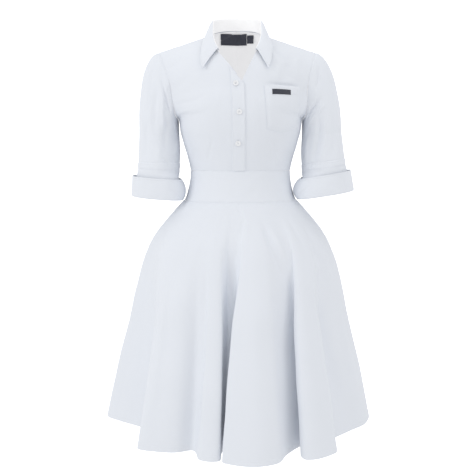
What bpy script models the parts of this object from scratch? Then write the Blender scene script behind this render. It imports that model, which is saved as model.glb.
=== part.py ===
"""Nurse uniform dress, worn shape with no wearer: every sewn piece is its own thin wall of cloth.

Metres, +Z up, the front faces -Y and the wearer's left is +X. The origin is at the base of the neck.
Each cloth piece is a grid of points on its outer face, worked out from the sizes below, with the wall
of the cloth built inwards from it. Panels stay a seam gap apart. What lies on a panel is made
from the panel's own points, moved out.
"""

import math

import bmesh
import bpy
import numpy as np

# Cloth, seams and fineness
CLOTH = 0.0015
SEAM_GAP = 0.0004
LABEL_CLOTH = 0.001
BODICE_COLUMNS = 9
LOWER_BODICE_ROWS = 4
SLEEVE_COLUMNS = 24
BAND_COLUMNS = 20
WAIST_ROWS = 5
SKIRT_COLUMNS = 68
PLACKET_ROWS = 12
POCKET_COLUMNS = 13
POCKET_ROWS = 8
TAB_COLUMNS = 5
TAB_ROWS = 3
LABEL_COLUMNS = 7
LABEL_ROWS = 4
BUTTON_SIDES = 20

# The neck sits a little towards the wearer's right of the waist
NECK_SHIFT = -0.008
NECK_SHIFT_FROM = -0.20
NECK_SHIFT_OVER = 0.17

# Half bodice, from the front waist over the shoulder to the back waist.
# The inner edge is the centre line and then the neckline, the outer edge the side seam and the armhole.
# The turn is how far the cloth has turned to the back, in degrees, where it meets the outer edge.
# Columns: inner x, inner y, inner z, outer x, outer y, outer z, turn
BODICE_TABLE = (
    (0.000, -0.095, -0.3185, 0.1165, 0.000, -0.3215, 90),
    (0.000, -0.103, -0.2900, 0.1235, 0.000, -0.2920, 90),
    (0.000, -0.112, -0.2550, 0.1335, 0.000, -0.2570, 90),
    (0.000, -0.118, -0.2250, 0.1405, 0.000, -0.2290, 90),
    (0.000, -0.121, -0.1900, 0.1435, 0.000, -0.2065, 88),
    (0.000, -0.119, -0.1600, 0.1490, -0.030, -0.1950, 74),
    (0.000, -0.113, -0.1330, 0.1525, -0.046, -0.1640, 62),
    (0.022, -0.099, -0.0920, 0.1560, -0.047, -0.1260, 55),
    (0.041, -0.077, -0.0590, 0.1660, -0.034, -0.0900, 40),
    (0.0575, -0.040, -0.0320, 0.1750, -0.017, -0.0660, 22),
    (0.062, 0.000, -0.0140, 0.1810, 0.000, -0.0520, 0),
    (0.0555, 0.024, -0.0070, 0.1765, 0.014, -0.0600, 14),
    (0.034, 0.049, 0.0015, 0.1710, 0.027, -0.0740, 26),
    (0.000, 0.060, 0.0045, 0.1650, 0.040, -0.0940, 40),
    (0.000, 0.077, -0.0280, 0.1570, 0.050, -0.1260, 54),
    (0.000, 0.090, -0.0700, 0.1530, 0.048, -0.1620, 64),
    (0.000, 0.099, -0.1150, 0.1490, 0.031, -0.1940, 76),
    (0.000, 0.103, -0.1700, 0.1435, 0.000, -0.2065, 88),
    (0.000, 0.100, -0.2150, 0.1405, 0.000, -0.2290, 90),
    (0.000, 0.095, -0.2500, 0.1335, 0.000, -0.2570, 90),
    (0.000, 0.090, -0.2880, 0.1235, 0.000, -0.2920, 90),
    (0.000, 0.088, -0.3185, 0.1165, 0.000, -0.3215, 90),
)
UNDERARM_FRONT_ROW = 4
FRONT_NECK_ROW = 8
SHOULDER_ROW = 10
BACK_NECK_ROW = 13
UNDERARM_BACK_ROW = 17
LAST_ROW = 21
BUST_FULLNESS = 0.007
BUST_X = 0.072
BUST_Z = -0.190
BUST_WIDTH = 0.055
BUST_HEIGHT = 0.060

# Front edges: the right front laps over the left one under the placket
CENTRE_RIGHT = -0.0040
CENTRE_LEFT = -0.0034

# Placket, buttons
PLACKET_LEFT = -0.0180
PLACKET_RIGHT = 0.0105
PLACKET_TOP_LEFT = -0.0925
PLACKET_TOP_RIGHT = -0.1300
PLACKET_BOTTOM = -0.3180
BUTTON_RADIUS = 0.0060
BUTTON_PLACES = ((-0.0075, -0.1300), (-0.0030, -0.1900), (-0.0055, -0.2570))
# Columns: radius as a share of BUTTON_RADIUS, height
BUTTON_OUTLINE = (
    (0.00, 0.0000),
    (0.88, 0.0000),
    (1.00, 0.0007),
    (1.00, 0.0015),
    (0.86, 0.0022),
    (0.62, 0.0016),
    (0.00, 0.0015),
)

# Breast pocket on the wearer's left, with its small tab
POCKET_INNER = 0.0530
POCKET_OUTER = 0.1340
POCKET_TOP = -0.1330
POCKET_BOTTOM = -0.2260
POCKET_POINT = 0.0090
POCKET_TAPER = 0.0040
POCKET_GAPE = 0.0032
GAPE_DEPTH = 0.60
GAPE_EVENNESS = 0.8
TAB_INNER = 0.0688
TAB_OUTER = 0.1086
TAB_TOP = -0.1422
TAB_HEIGHT = 0.0110

# Sleeve rings below the armhole, by the points nearest to and farthest from the body
# Columns: near x, near z, far x, far z, middle y, half depth
SLEEVE_TABLES = {
    "right": (
        (0.1430, -0.2400, 0.2365, -0.2400, -0.002, 0.053),
        (0.1418, -0.2800, 0.2385, -0.2800, -0.005, 0.055),
        (0.1430, -0.3170, 0.2400, -0.3150, -0.008, 0.057),
    ),
    "left": (
        (0.1440, -0.2410, 0.2360, -0.2330, -0.002, 0.053),
        (0.1428, -0.2820, 0.2415, -0.2720, -0.005, 0.055),
        (0.1450, -0.3200, 0.2460, -0.3050, -0.008, 0.057),
    ),
}
ARMHOLE_GAP = 0.0006
HEAD_TURN = 15.0
UNDERARM_TURN = 90.0
HEAD_FULLNESS = 0.80
HEAD_ROWS = 8
LOWER_SLEEVE_ROWS = 5

# Turned-back cuffs: the ring at the fold, and the ring at the free top edge outside
# Columns: near x, near z, far x, far z, middle y, half depth
CUFF_TABLES = {
    "right": (
        (0.1350, -0.3900, 0.2575, -0.3810, -0.010, 0.065),
        (0.1400, -0.3410, 0.2545, -0.3335, -0.010, 0.063),
    ),
    "left": (
        (0.1335, -0.3880, 0.2680, -0.3680, -0.010, 0.066),
        (0.1425, -0.3390, 0.2595, -0.3200, -0.010, 0.063),
    ),
}
CUFF_BOXINESS = 2.5
CUFF_FOLD_RADIUS = 0.0024
CUFF_TURN = 9.0
# How far the outer layer swells towards the body between the fold and its free edge
CUFF_SWELL = {"right": 0.0075, "left": 0.0125}
CUFF_SWELL_SPREAD = 42.0
CUFF_SWELL_FULLNESS = 0.7

# Inner layer of a cuff, from the sleeve seam down towards the fold
# Columns: share of the way down, boxiness, turn in degrees, drawn away from the body
CUFF_INNER_TABLE = (
    (0.00, 2.00, 0.0, 0.0000),
    (0.10, 2.02, 0.0, 0.0001),
    (0.30, 2.45, 8.0, 0.0034),
    (0.65, 2.50, 9.0, 0.0022),
)

# Waistband sections
# Columns: height, half width, reach to the front, reach to the back
WAIST_TABLE = (
    (-0.3192, 0.1165, 0.0950, 0.0880),
    (-0.3360, 0.1180, 0.0965, 0.0900),
    (-0.3590, 0.1220, 0.1005, 0.0945),
    (-0.3770, 0.1270, 0.1050, 0.0990),
    (-0.3880, 0.1320, 0.1090, 0.1030),
)
WAIST_SIDE_DROP = 0.003

# Skirt sections below the waistband, with how far the folds have opened
# Columns: drop, half width, reach to the front, reach to the back, share that the folds have opened
SKIRT_TABLE = (
    (0.000, 0.1325, 0.1095, 0.1035, 0.00),
    (0.010, 0.1430, 0.1170, 0.1110, 0.00),
    (0.030, 0.1605, 0.1280, 0.1240, 0.01),
    (0.057, 0.1840, 0.1420, 0.1410, 0.03),
    (0.087, 0.2050, 0.1570, 0.1590, 0.08),
    (0.120, 0.2210, 0.1700, 0.1740, 0.17),
    (0.160, 0.2360, 0.1840, 0.1900, 0.31),
    (0.210, 0.2490, 0.2000, 0.2060, 0.49),
    (0.270, 0.2620, 0.2170, 0.2200, 0.66),
    (0.340, 0.2800, 0.2350, 0.2370, 0.80),
    (0.430, 0.3025, 0.2570, 0.2570, 0.92),
    (0.539, 0.3250, 0.2790, 0.2750, 1.00),
)
HEM_SHIFT = -0.005

# Outline of the folds at the hem, right round. Azimuths are in degrees from the front towards the
# wearer's left, and the reach is a share of the plain bell's radius there. Where the hem's azimuth runs
# back, one fold overlaps the next. A power under 1 opens the fold nearer to the waistband.
# Columns: azimuth at the hem, reach, azimuth under the waistband that it hangs from, power
HEM_OUTLINE = (
    (-96.0, 1.000, -96.0, 1.00),
    (-88.0, 1.000, -88.0, 1.00),
    (-80.0, 0.900, -81.0, 1.00),
    (-71.0, 0.790, -75.0, 1.00),
    (-62.0, 0.730, -68.0, 1.00),
    (-54.0, 0.800, -61.0, 1.00),
    (-48.5, 0.910, -55.0, 1.00),
    (-44.5, 0.975, -49.0, 1.00),
    (-37.5, 0.930, -42.0, 1.00),
    (-29.0, 0.865, -33.0, 1.00),
    (-23.5, 0.780, -26.0, 1.00),
    (-19.8, 0.830, -21.5, 1.00),
    (-16.5, 0.915, -17.5, 1.00),
    (-12.0, 0.930, -15.5, 0.80),
    (-7.4, 0.895, -13.2, 0.66),
    (-8.4, 0.780, -10.0, 0.62),
    (-8.2, 0.650, -7.0, 0.60),
    (-4.6, 0.650, -3.0, 0.60),
    (-4.2, 0.780, 1.0, 0.62),
    (-6.9, 0.915, 4.0, 0.66),
    (-3.0, 0.955, 5.5, 0.80),
    (7.0, 0.998, 9.0, 1.00),
    (15.0, 0.975, 14.0, 1.00),
    (22.0, 0.860, 19.0, 0.95),
    (30.0, 0.790, 24.5, 0.85),
    (37.5, 0.760, 29.0, 0.75),
    (34.0, 0.830, 32.5, 0.75),
    (27.0, 0.905, 34.5, 0.75),
    (26.5, 0.975, 36.0, 0.80),
    (32.0, 1.012, 39.0, 0.95),
    (40.5, 1.005, 43.0, 1.00),
    (46.0, 0.920, 48.5, 1.00),
    (50.5, 0.830, 53.0, 1.00),
    (58.0, 0.850, 60.0, 1.00),
    (67.0, 0.890, 68.0, 1.00),
    (78.0, 0.970, 78.0, 1.00),
    (89.0, 1.000, 89.0, 1.00),
    (99.0, 0.960, 99.0, 1.00),
    (107.0, 0.850, 107.0, 1.00),
    (113.0, 0.810, 113.0, 1.00),
    (119.0, 0.900, 119.0, 1.00),
    (127.0, 0.990, 127.0, 1.00),
    (134.0, 0.940, 134.0, 1.00),
    (139.0, 0.800, 139.0, 1.00),
    (143.0, 0.740, 143.0, 1.00),
    (147.0, 0.800, 147.0, 1.00),
    (152.0, 0.950, 152.0, 1.00),
    (159.0, 1.000, 159.0, 1.00),
    (166.0, 0.920, 166.0, 1.00),
    (170.5, 0.760, 170.5, 1.00),
    (174.0, 0.700, 174.0, 1.00),
    (178.0, 0.780, 178.0, 1.00),
    (183.0, 0.940, 183.0, 1.00),
    (190.0, 1.000, 190.0, 1.00),
    (198.0, 0.960, 198.0, 1.00),
    (205.0, 0.810, 205.0, 1.00),
    (209.0, 0.750, 209.0, 1.00),
    (213.0, 0.810, 213.0, 1.00),
    (219.0, 0.960, 219.0, 1.00),
    (226.0, 1.000, 226.0, 1.00),
    (233.0, 0.950, 233.0, 1.00),
    (241.0, 0.830, 241.0, 1.00),
    (247.0, 0.790, 247.0, 1.00),
    (253.0, 0.850, 253.0, 1.00),
    (259.0, 0.950, 259.0, 1.00),
)
FOLD_ROUNDING = 0.0045
TURN_LENGTH = 0.030
HEM_STEPS = 4000

# Collar stations from the centre back to the front end, on the wearer's left
# Columns: neck seam x, y, z, roll line x, y, z, free edge x, y, z
COLLAR_TABLE = (
    (0.0000, 0.0584, 0.0056, 0.0000, 0.0630, 0.0350, 0.0000, 0.0800, -0.0020),
    (0.0330, 0.0474, 0.0028, 0.0300, 0.0530, 0.0325, 0.0450, 0.0630, -0.0052),
    (0.0536, 0.0231, -0.0056, 0.0480, 0.0270, 0.0265, 0.0630, 0.0310, -0.0078),
    (0.0601, 0.0000, -0.0126, 0.0550, 0.0000, 0.0185, 0.0685, -0.0020, -0.0092),
    (0.0557, -0.0395, -0.0303, 0.0545, -0.0420, -0.0130, 0.0795, -0.0600, -0.0470),
    (0.0496, -0.0595, -0.0434, 0.0500, -0.0640, -0.0345, 0.0780, -0.0870, -0.0750),
    (0.0400, -0.0765, -0.0558, 0.0420, -0.0800, -0.0515, 0.0720, -0.1000, -0.0965),
)
COLLAR_ROLL = 0.0045
COLLAR_TIP_SHIFT = {"right": 0.0060, "left": -0.0060}
COLLAR_COLUMNS = 29
STAND_ROWS = 5
FALL_ROWS = 8

# Woven labels inside the back neck, on the back panel's inner face
LABEL_FROM = -0.0395
LABEL_TO = 0.0235
LABEL_TOP = -0.0010
LABEL_HEIGHT = 0.0245
LABEL_CLEARANCE = 0.0018
LABEL_SPACING = 0.0012
SIZE_TAB_TO = 0.0400
SIZE_TAB_TOP = -0.0045
SIZE_TAB_HEIGHT = 0.0170

WHITE = (0.86, 0.88, 0.92)
LABEL_DARK = (0.012, 0.014, 0.030)
BUTTON_WHITE = (0.88, 0.88, 0.88)


def ease(t):
    """Smooth step from 0 to 1 with level ends."""
    t = np.clip(t, 0.0, 1.0)
    return t * t * (3.0 - 2.0 * t)


def section(table, t):
    """Rows of a table at row numbers t, by a cubic that never overshoots the rows it passes."""
    rows = np.asarray(table, dtype=float)
    t = np.clip(np.asarray(t, dtype=float), 0.0, len(rows) - 1.0)
    step = np.diff(rows, axis=0)
    before, after = step[:-1], step[1:]
    same = before * after > 0.0
    total = np.where(same, before + after, 1.0)
    slope = np.zeros_like(rows)
    slope[1:-1] = np.where(same, 2.0 * before * after / total, 0.0)
    slope[0] = step[0]
    slope[-1] = step[-1]
    k = np.minimum(t.astype(int), len(rows) - 2)
    f = (t - k)[..., None]
    return (
        rows[k] * (1.0 + 2.0 * f) * (1.0 - f) ** 2
        + slope[k] * f * (1.0 - f) ** 2
        + rows[k + 1] * f * f * (3.0 - 2.0 * f)
        - slope[k + 1] * f * f * (1.0 - f)
    )


def unit(vectors):
    """Vectors scaled to length one."""
    return vectors / np.maximum(np.linalg.norm(vectors, axis=-1, keepdims=True), 1e-12)


def shift_neck(points):
    """Points above the chest move with the neck."""
    moved = points.copy()
    share = ease((points[..., 2] - NECK_SHIFT_FROM) / NECK_SHIFT_OVER)
    moved[..., 0] += NECK_SHIFT * share
    return moved


def bodice(across, row, side=1.0):
    """Outer face of the bodice: across 0 to 1 from inner to outer edge, row along BODICE_TABLE.

    Each row is a Bezier curve that leaves the inner edge sideways and meets the outer edge at its turn.
    Soft fullness over each bust side falls off to nothing at the seams.
    """
    across, row = np.broadcast_arrays(np.asarray(across, dtype=float), np.asarray(row, dtype=float))
    values = section(BODICE_TABLE, row)
    inner, outer = values[..., 0:3], values[..., 3:6]
    turn = np.radians(values[..., 6])
    reach = outer - inner
    bow = 0.55
    level = np.interp(values[..., 6], [0.0, 90.0], [bow, 1.0 / 3.0])
    first = inner + np.stack([bow * reach[..., 0], 0.0 * reach[..., 1], level * reach[..., 2]], -1)
    second = outer - np.stack([
        bow * reach[..., 0] * np.cos(turn),
        bow * reach[..., 1] * np.sin(turn),
        level * reach[..., 2],
    ], -1)
    u = across[..., None]
    points = (
        inner * (1.0 - u) ** 3
        + first * 3.0 * u * (1.0 - u) ** 2
        + second * 3.0 * u * u * (1.0 - u)
        + outer * u ** 3
    )
    bump = np.exp(
        -((points[..., 0] - BUST_X) / BUST_WIDTH) ** 2
        - ((points[..., 2] - BUST_Z) / BUST_HEIGHT) ** 2
    )
    front = np.clip((SHOULDER_ROW - row) / 2.0, 0.0, 1.0)
    points[..., 1] -= BUST_FULLNESS * bump * front * (1.0 - across ** 3)
    points[..., 0] *= side
    return points


def find_on_bodice(x, z, side, across, row):
    """Across and row numbers where the bodice has the given x and height, by Newton steps from a guess."""
    target = np.stack(np.broadcast_arrays(np.asarray(x, float), np.asarray(z, float)), -1)
    small = 1e-4
    for _ in range(40):
        here = bodice(across, row, side)[..., [0, 2]]
        by_across = (bodice(across + small, row, side)[..., [0, 2]] - here) / small
        by_row = (bodice(across, row + small, side)[..., [0, 2]] - here) / small
        miss = target - here
        area = by_across[..., 0] * by_row[..., 1] - by_across[..., 1] * by_row[..., 0]
        d_across = (miss[..., 0] * by_row[..., 1] - miss[..., 1] * by_row[..., 0]) / area
        d_row = (by_across[..., 0] * miss[..., 1] - by_across[..., 1] * miss[..., 0]) / area
        across = across + np.clip(d_across, -0.06, 0.06)
        row = row + np.clip(d_row, -0.3, 0.3)
    return across, row


def grid_normals(points, closed=False):
    """Unit normals of a grid of points, from its rows and columns; a closed grid wraps round."""
    if closed:
        points = np.concatenate([points[:, -1:], points, points[:, :1]], axis=1)
    normals = unit(np.cross(np.gradient(points, axis=1), np.gradient(points, axis=0)))
    return normals[:, 1:-1] if closed else normals


def bodice_normals(across, row, side=1.0):
    """Outward unit normals of the bodice, the same from either side of a seam."""
    small = 1e-3
    by_across = bodice(across + small, row) - bodice(across - small, row)
    by_row = bodice(across, row + small) - bodice(across, row - small)
    normals = unit(np.cross(by_across, by_row))
    normals[..., 0] *= side
    return normals


def over_front(x, z, lift):
    """Points and outward normals of a piece lying on the front, the lift above its outer face."""
    x, z = np.broadcast_arrays(np.asarray(x, dtype=float), np.asarray(z, dtype=float))
    side = np.where(x < 0.0, -1.0, 1.0)
    guess = np.interp(z, [-0.3185, -0.255, -0.19, -0.133, -0.06], [0.0, 2.0, 4.0, 6.0, 8.0])
    across, row = find_on_bodice(x, z, side, np.abs(x) / 0.15, guess)
    outward = bodice_normals(across, row, side)
    return bodice(across, row, side) + outward * np.asarray(lift, dtype=float)[..., None], outward


def set_back(grid, first_row=0.0, last_row=0.0, first_column=0.0, last_column=0.0):
    """Draws the edges of a grid back from its seams by the given distances."""
    grid = grid.copy()
    if first_row:
        grid[0] += unit(grid[1] - grid[0]) * first_row
    if last_row:
        grid[-1] += unit(grid[-2] - grid[-1]) * last_row
    if first_column:
        grid[:, 0] += unit(grid[:, 1] - grid[:, 0]) * first_column
    if last_column:
        grid[:, -1] += unit(grid[:, -2] - grid[:, -1]) * last_column
    return grid


def material(name, colour, roughness, sheen=0.0):
    """Plain Principled material of one piece."""
    made = bpy.data.materials.new(name)
    made.use_nodes = True
    shader = made.node_tree.nodes["Principled BSDF"]
    shader.inputs["Base Color"].default_value = (*colour, 1.0)
    shader.inputs["Roughness"].default_value = roughness
    shader.inputs["Metallic"].default_value = 0.0
    shader.inputs["Sheen Weight"].default_value = sheen
    made.diffuse_color = (*colour, 1.0)
    return made


def place(name, mesh, colour, roughness, sheen=0.0):
    """Adds a mesh to the scene as a named object, smooth and with its own material."""
    piece = bpy.data.objects.new(name, mesh)
    bpy.context.scene.collection.objects.link(piece)
    mesh.materials.append(material(name, colour, roughness, sheen))
    mesh.shade_smooth()
    return piece


def cloth(name, panels, closed=False, thickness=CLOTH, colour=WHITE):
    """One cloth piece, as a closed wall: its outer face, and the same face moved in by the thickness.

    Each panel is a grid of points with its outward normals. Its cells are split across their shorter
    way, alike on both faces. Panels are joined where they share points, and every open edge of the
    joined face gets a rim.
    """
    points, normals, faces = [], [], []
    for grid, outward in panels:
        rows, columns = grid.shape[:2]
        number = len(points) + np.arange(rows * columns).reshape(rows, columns)
        points.extend(grid.reshape(-1, 3))
        normals.extend(outward.reshape(-1, 3))
        across = np.roll(number, -1, axis=1) if closed else number[:, 1:]
        start = number if closed else number[:, :-1]
        quads = np.stack([start[:-1], across[:-1], across[1:], start[1:]], -1).reshape(-1, 4)
        first = grid.reshape(-1, 3)[quads[0] - number[0, 0]]
        facing = np.cross(first[1] - first[0], first[2] - first[0])
        if np.dot(facing, outward[0, 0]) < 0.0:
            quads = quads[:, ::-1]
        faces.extend(quads)
    points, normals, faces = np.array(points), np.array(normals), np.array(faces)
    corners = points[faces]
    lean = np.linalg.norm(corners[:, 2] - corners[:, 0], axis=-1)
    other = np.linalg.norm(corners[:, 3] - corners[:, 1], axis=-1)
    faces = np.where((other < lean)[:, None], np.roll(faces, -1, axis=1), faces)
    faces = np.concatenate([faces[:, [0, 1, 2]], faces[:, [0, 2, 3]]])
    _, kept, joined = np.unique(np.round(points * 1e6), axis=0, return_index=True, return_inverse=True)
    faces = joined.reshape(-1)[faces]
    outer = points[kept]
    inner = outer - normals[kept] * thickness
    edges = np.stack([faces, np.roll(faces, -1, axis=1)], -1).reshape(-1, 2)
    shared = {tuple(edge) for edge in edges}
    rim = [edge for edge in edges if (edge[1], edge[0]) not in shared]
    count = len(outer)
    every = [tuple(face) for face in faces]
    every += [tuple(face[::-1] + count) for face in faces]
    every += [(b, a, a + count, b + count) for a, b in rim]
    mesh = bpy.data.meshes.new(name)
    mesh.from_pydata(np.concatenate([outer, inner]).tolist(), [], every)
    mesh.update()
    return place(name, mesh, colour, 0.85, 0.15)


def armhole_rows():
    """Row numbers right round the armhole, one for each column of the sleeve, closed at the underarm."""
    half = SLEEVE_COLUMNS // 2
    to_neck = half - 7
    front = np.linspace(UNDERARM_FRONT_ROW, SHOULDER_ROW, half + 1)
    over = np.linspace(SHOULDER_ROW, BACK_NECK_ROW, to_neck + 1)
    down = np.linspace(BACK_NECK_ROW, UNDERARM_BACK_ROW, half - to_neck + 1)
    return np.concatenate([front, over[1:], down[1:]])


def bodice_front(name, side, centre, slope_meets):
    """One front: its inner edge runs up the centre line, then along the neckline to the shoulder."""
    below = np.linspace(0.0, UNDERARM_FRONT_ROW, LOWER_BODICE_ROWS + 1)
    rows = np.concatenate([below[:-1], armhole_rows()[:SLEEVE_COLUMNS // 2 + 1]])[:, None]
    across = np.linspace(0.0, 1.0, BODICE_COLUMNS)[None, :]
    edge_height = section(BODICE_TABLE, rows[:, 0])[:, 2]
    neck = section(BODICE_TABLE, np.array(float(FRONT_NECK_ROW)))
    slope = (neck[0] - side * centre) / (neck[2] - slope_meets)
    wanted = np.where(
        edge_height < slope_meets,
        side * centre,
        side * centre + slope * (edge_height - slope_meets),
    )
    below = rows[:, 0] < FRONT_NECK_ROW - 0.01
    at_neck = section(BODICE_TABLE, rows[:, 0])[:, 0]
    start_x = np.where(below, wanted, at_neck)
    probe = np.linspace(-0.25, 0.6, 341)[None, :]
    line = bodice(probe, rows, 1.0)[..., 0]
    start = np.array([np.interp(start_x[k], line[k], probe[0]) for k in range(len(start_x))])[:, None]
    start = np.where(below[:, None], start, 0.0)
    spread = start + (1.0 - start) * across
    grid = bodice(spread, rows, side)
    grid = set_back(grid, last_row=SEAM_GAP / 2.0, last_column=SEAM_GAP / 2.0)
    return cloth(name, [(shift_neck(grid), bodice_normals(spread, rows, side))])


def bodice_back():
    """The back in one piece: two halves that meet at the centre line below the neckline."""
    below = np.linspace(UNDERARM_BACK_ROW, LAST_ROW, LOWER_BODICE_ROWS + 1)
    rows = np.concatenate([armhole_rows()[SLEEVE_COLUMNS // 2:], below[1:]])
    across = np.linspace(0.0, 1.0, BODICE_COLUMNS)[None, :]
    halves = []
    for side in (1.0, -1.0):
        grid = bodice(across, rows[:, None], side)
        grid = set_back(grid, first_row=SEAM_GAP / 2.0, last_column=SEAM_GAP / 2.0)
        halves.append((shift_neck(grid), bodice_normals(across, rows[:, None], side)))
    return cloth("bodice_back", halves)


def ring(values, turn, boxiness=2.0, twist=0.0):
    """Closed ring through its near and far points: the turn is 180 next to the body and 90 in front."""
    near_x, near_z, far_x, far_z, middle_y, half_depth = np.moveaxis(values, -1, 0)
    power = 2.0 / boxiness
    out = np.sign(np.cos(turn)) * np.abs(np.cos(turn)) ** power
    forward = np.sign(np.sin(turn)) * np.abs(np.sin(turn)) ** power
    x = (near_x + far_x) / 2.0 + (far_x - near_x) / 2.0 * out - np.sin(twist) * forward * half_depth
    y = middle_y - half_depth * forward
    z = (near_z + far_z) / 2.0 + (far_z - near_z) / 2.0 * out
    return np.stack([x, y, z], -1)


def sleeve(which):
    """Sleeve tube: curves leave the armhole outwards, turn down into the arm and run to the cuff seam."""
    side = -1.0 if which == "right" else 1.0
    turn = np.radians(np.linspace(180.0, -180.0, SLEEVE_COLUMNS + 1)[:-1])
    mirror = np.array([side, 1.0, 1.0])
    top = shift_neck(bodice(1.0, armhole_rows()[:-1]) * mirror) * mirror
    top[:, 0] += ARMHOLE_GAP
    below = ring(section(SLEEVE_TABLES[which], np.zeros(len(turn))), turn)
    lean = np.radians(HEAD_TURN + (UNDERARM_TURN - HEAD_TURN) * (1.0 - np.cos(turn)) / 2.0)
    distance = np.linalg.norm(below - top, axis=-1, keepdims=True)
    leaving = np.stack([np.cos(lean), np.zeros_like(lean), -np.sin(lean)], -1) * HEAD_FULLNESS * distance
    arriving = np.array([0.0, 0.0, -1.0]) * 0.6 * distance
    lines = []
    for t in np.linspace(0.0, 1.0, HEAD_ROWS):
        lines.append(
            top * (1.0 + 2.0 * t) * (1.0 - t) ** 2
            + leaving * t * (1.0 - t) ** 2
            + below * t * t * (3.0 - 2.0 * t)
            - arriving * t * t * (1.0 - t)
        )
    for t in np.linspace(0.0, 2.0, LOWER_SLEEVE_ROWS)[1:]:
        lines.append(ring(section(SLEEVE_TABLES[which], np.full(len(turn), t)), turn))
    grid = set_back(np.array(lines), last_row=2.0 * SEAM_GAP)
    outward = -grid_normals(grid, closed=True)
    return cloth("sleeve_" + which, [(grid * mirror, outward * mirror)], closed=True)


def cuff(which):
    """Turned-back cuff: down inside from the seam, round the fold, and up outside to the free edge."""
    side = -1.0 if which == "right" else 1.0
    turn = np.radians(np.linspace(180.0, -180.0, SLEEVE_COLUMNS + 1)[:-1])
    seam = np.asarray(SLEEVE_TABLES[which][-1], dtype=float)
    fold, top = (np.asarray(row, dtype=float) for row in CUFF_TABLES[which])
    shrink = np.array([1.0, 0.0, -1.0, 0.0, 0.0, -1.0])
    rise = np.array([0.0, 1.0, 0.0, 1.0, 0.0, 0.0])
    seam = seam + shrink * CLOTH
    inner_fold = fold + shrink * 2.0 * CUFF_FOLD_RADIUS + rise * CUFF_FOLD_RADIUS
    outer_fold = fold + rise * CUFF_FOLD_RADIUS
    away = np.array([1.0, 0.0, 0.0, 0.0, 0.0, 0.0])
    profile = [seam + (inner_fold - seam) * share + away * drawn
               for share, boxiness, degrees, drawn in CUFF_INNER_TABLE]
    for angle in np.radians([0.0, 45.0, 90.0, 135.0, 180.0]):
        middle = (inner_fold + outer_fold) / 2.0
        profile.append(middle + shrink * CUFF_FOLD_RADIUS * math.cos(angle)
                       - rise * CUFF_FOLD_RADIUS * math.sin(angle))
    outer_shares = (0.22, 0.6, 1.0)
    profile += [outer_fold + (top - outer_fold) * share for share in outer_shares]
    boxes = [row[1] for row in CUFF_INNER_TABLE]
    boxes += [CUFF_BOXINESS] * (len(profile) - len(boxes))
    twist = [math.radians(row[2]) for row in CUFF_INNER_TABLE]
    twist += [math.radians(CUFF_TURN)] * (len(profile) - len(twist))
    lines = [ring(np.tile(values, (len(turn), 1)), turn, boxes[k], twist[k])
             for k, values in enumerate(profile)]
    grid = np.array(lines)
    near_body = np.exp(-((180.0 - np.abs(np.degrees(turn))) / CUFF_SWELL_SPREAD) ** 2)
    for row, share in zip(range(len(lines) - len(outer_shares), len(lines)), outer_shares):
        swell = max(math.sin(math.pi * share), 0.0) ** CUFF_SWELL_FULLNESS
        grid[row, :, 0] -= CUFF_SWELL[which] * swell * near_body
    outward = grid_normals(grid, closed=True)
    mirror = np.array([side, 1.0, 1.0])
    return cloth("cuff_" + which, [(grid * mirror, outward * mirror)], closed=True)


def waist_ring(values, azimuth):
    """Point of a waist or skirt section at an azimuth from the front towards the wearer's left."""
    depth = np.where(np.cos(azimuth) > 0.0, values[..., 2], values[..., 3])
    x = values[..., 1] * np.sin(azimuth)
    y = -depth * np.cos(azimuth)
    z = values[..., 0] - WAIST_SIDE_DROP * np.sin(azimuth) ** 2
    return np.stack([x, y, z], -1)


def waistband():
    """Front and back of the shaped waistband, which meet at the side seams."""
    azimuth = np.radians(np.linspace(-90.0, 270.0, 2 * BAND_COLUMNS + 1))[None, :]
    rows = np.linspace(0.0, len(WAIST_TABLE) - 1.0, WAIST_ROWS)[:, None]
    values = section(WAIST_TABLE, np.broadcast_to(rows, (WAIST_ROWS, azimuth.shape[1])))
    halves(("waistband_front", "waistband_back"), waist_ring(values, azimuth), BAND_COLUMNS)


def halves(names, grid, middle):
    """Cuts a tube that starts and ends at one side seam into its front and back pieces."""
    outward = -grid_normals(grid[:, :-1], closed=True)
    outward = np.concatenate([outward, outward[:, :1]], axis=1)
    for name, part in zip(names, (slice(None, middle + 1), slice(middle, None))):
        piece = set_back(grid[:, part], first_column=SEAM_GAP / 2.0, last_column=SEAM_GAP / 2.0)
        cloth(name, [(piece, outward[:, part])])


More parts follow.
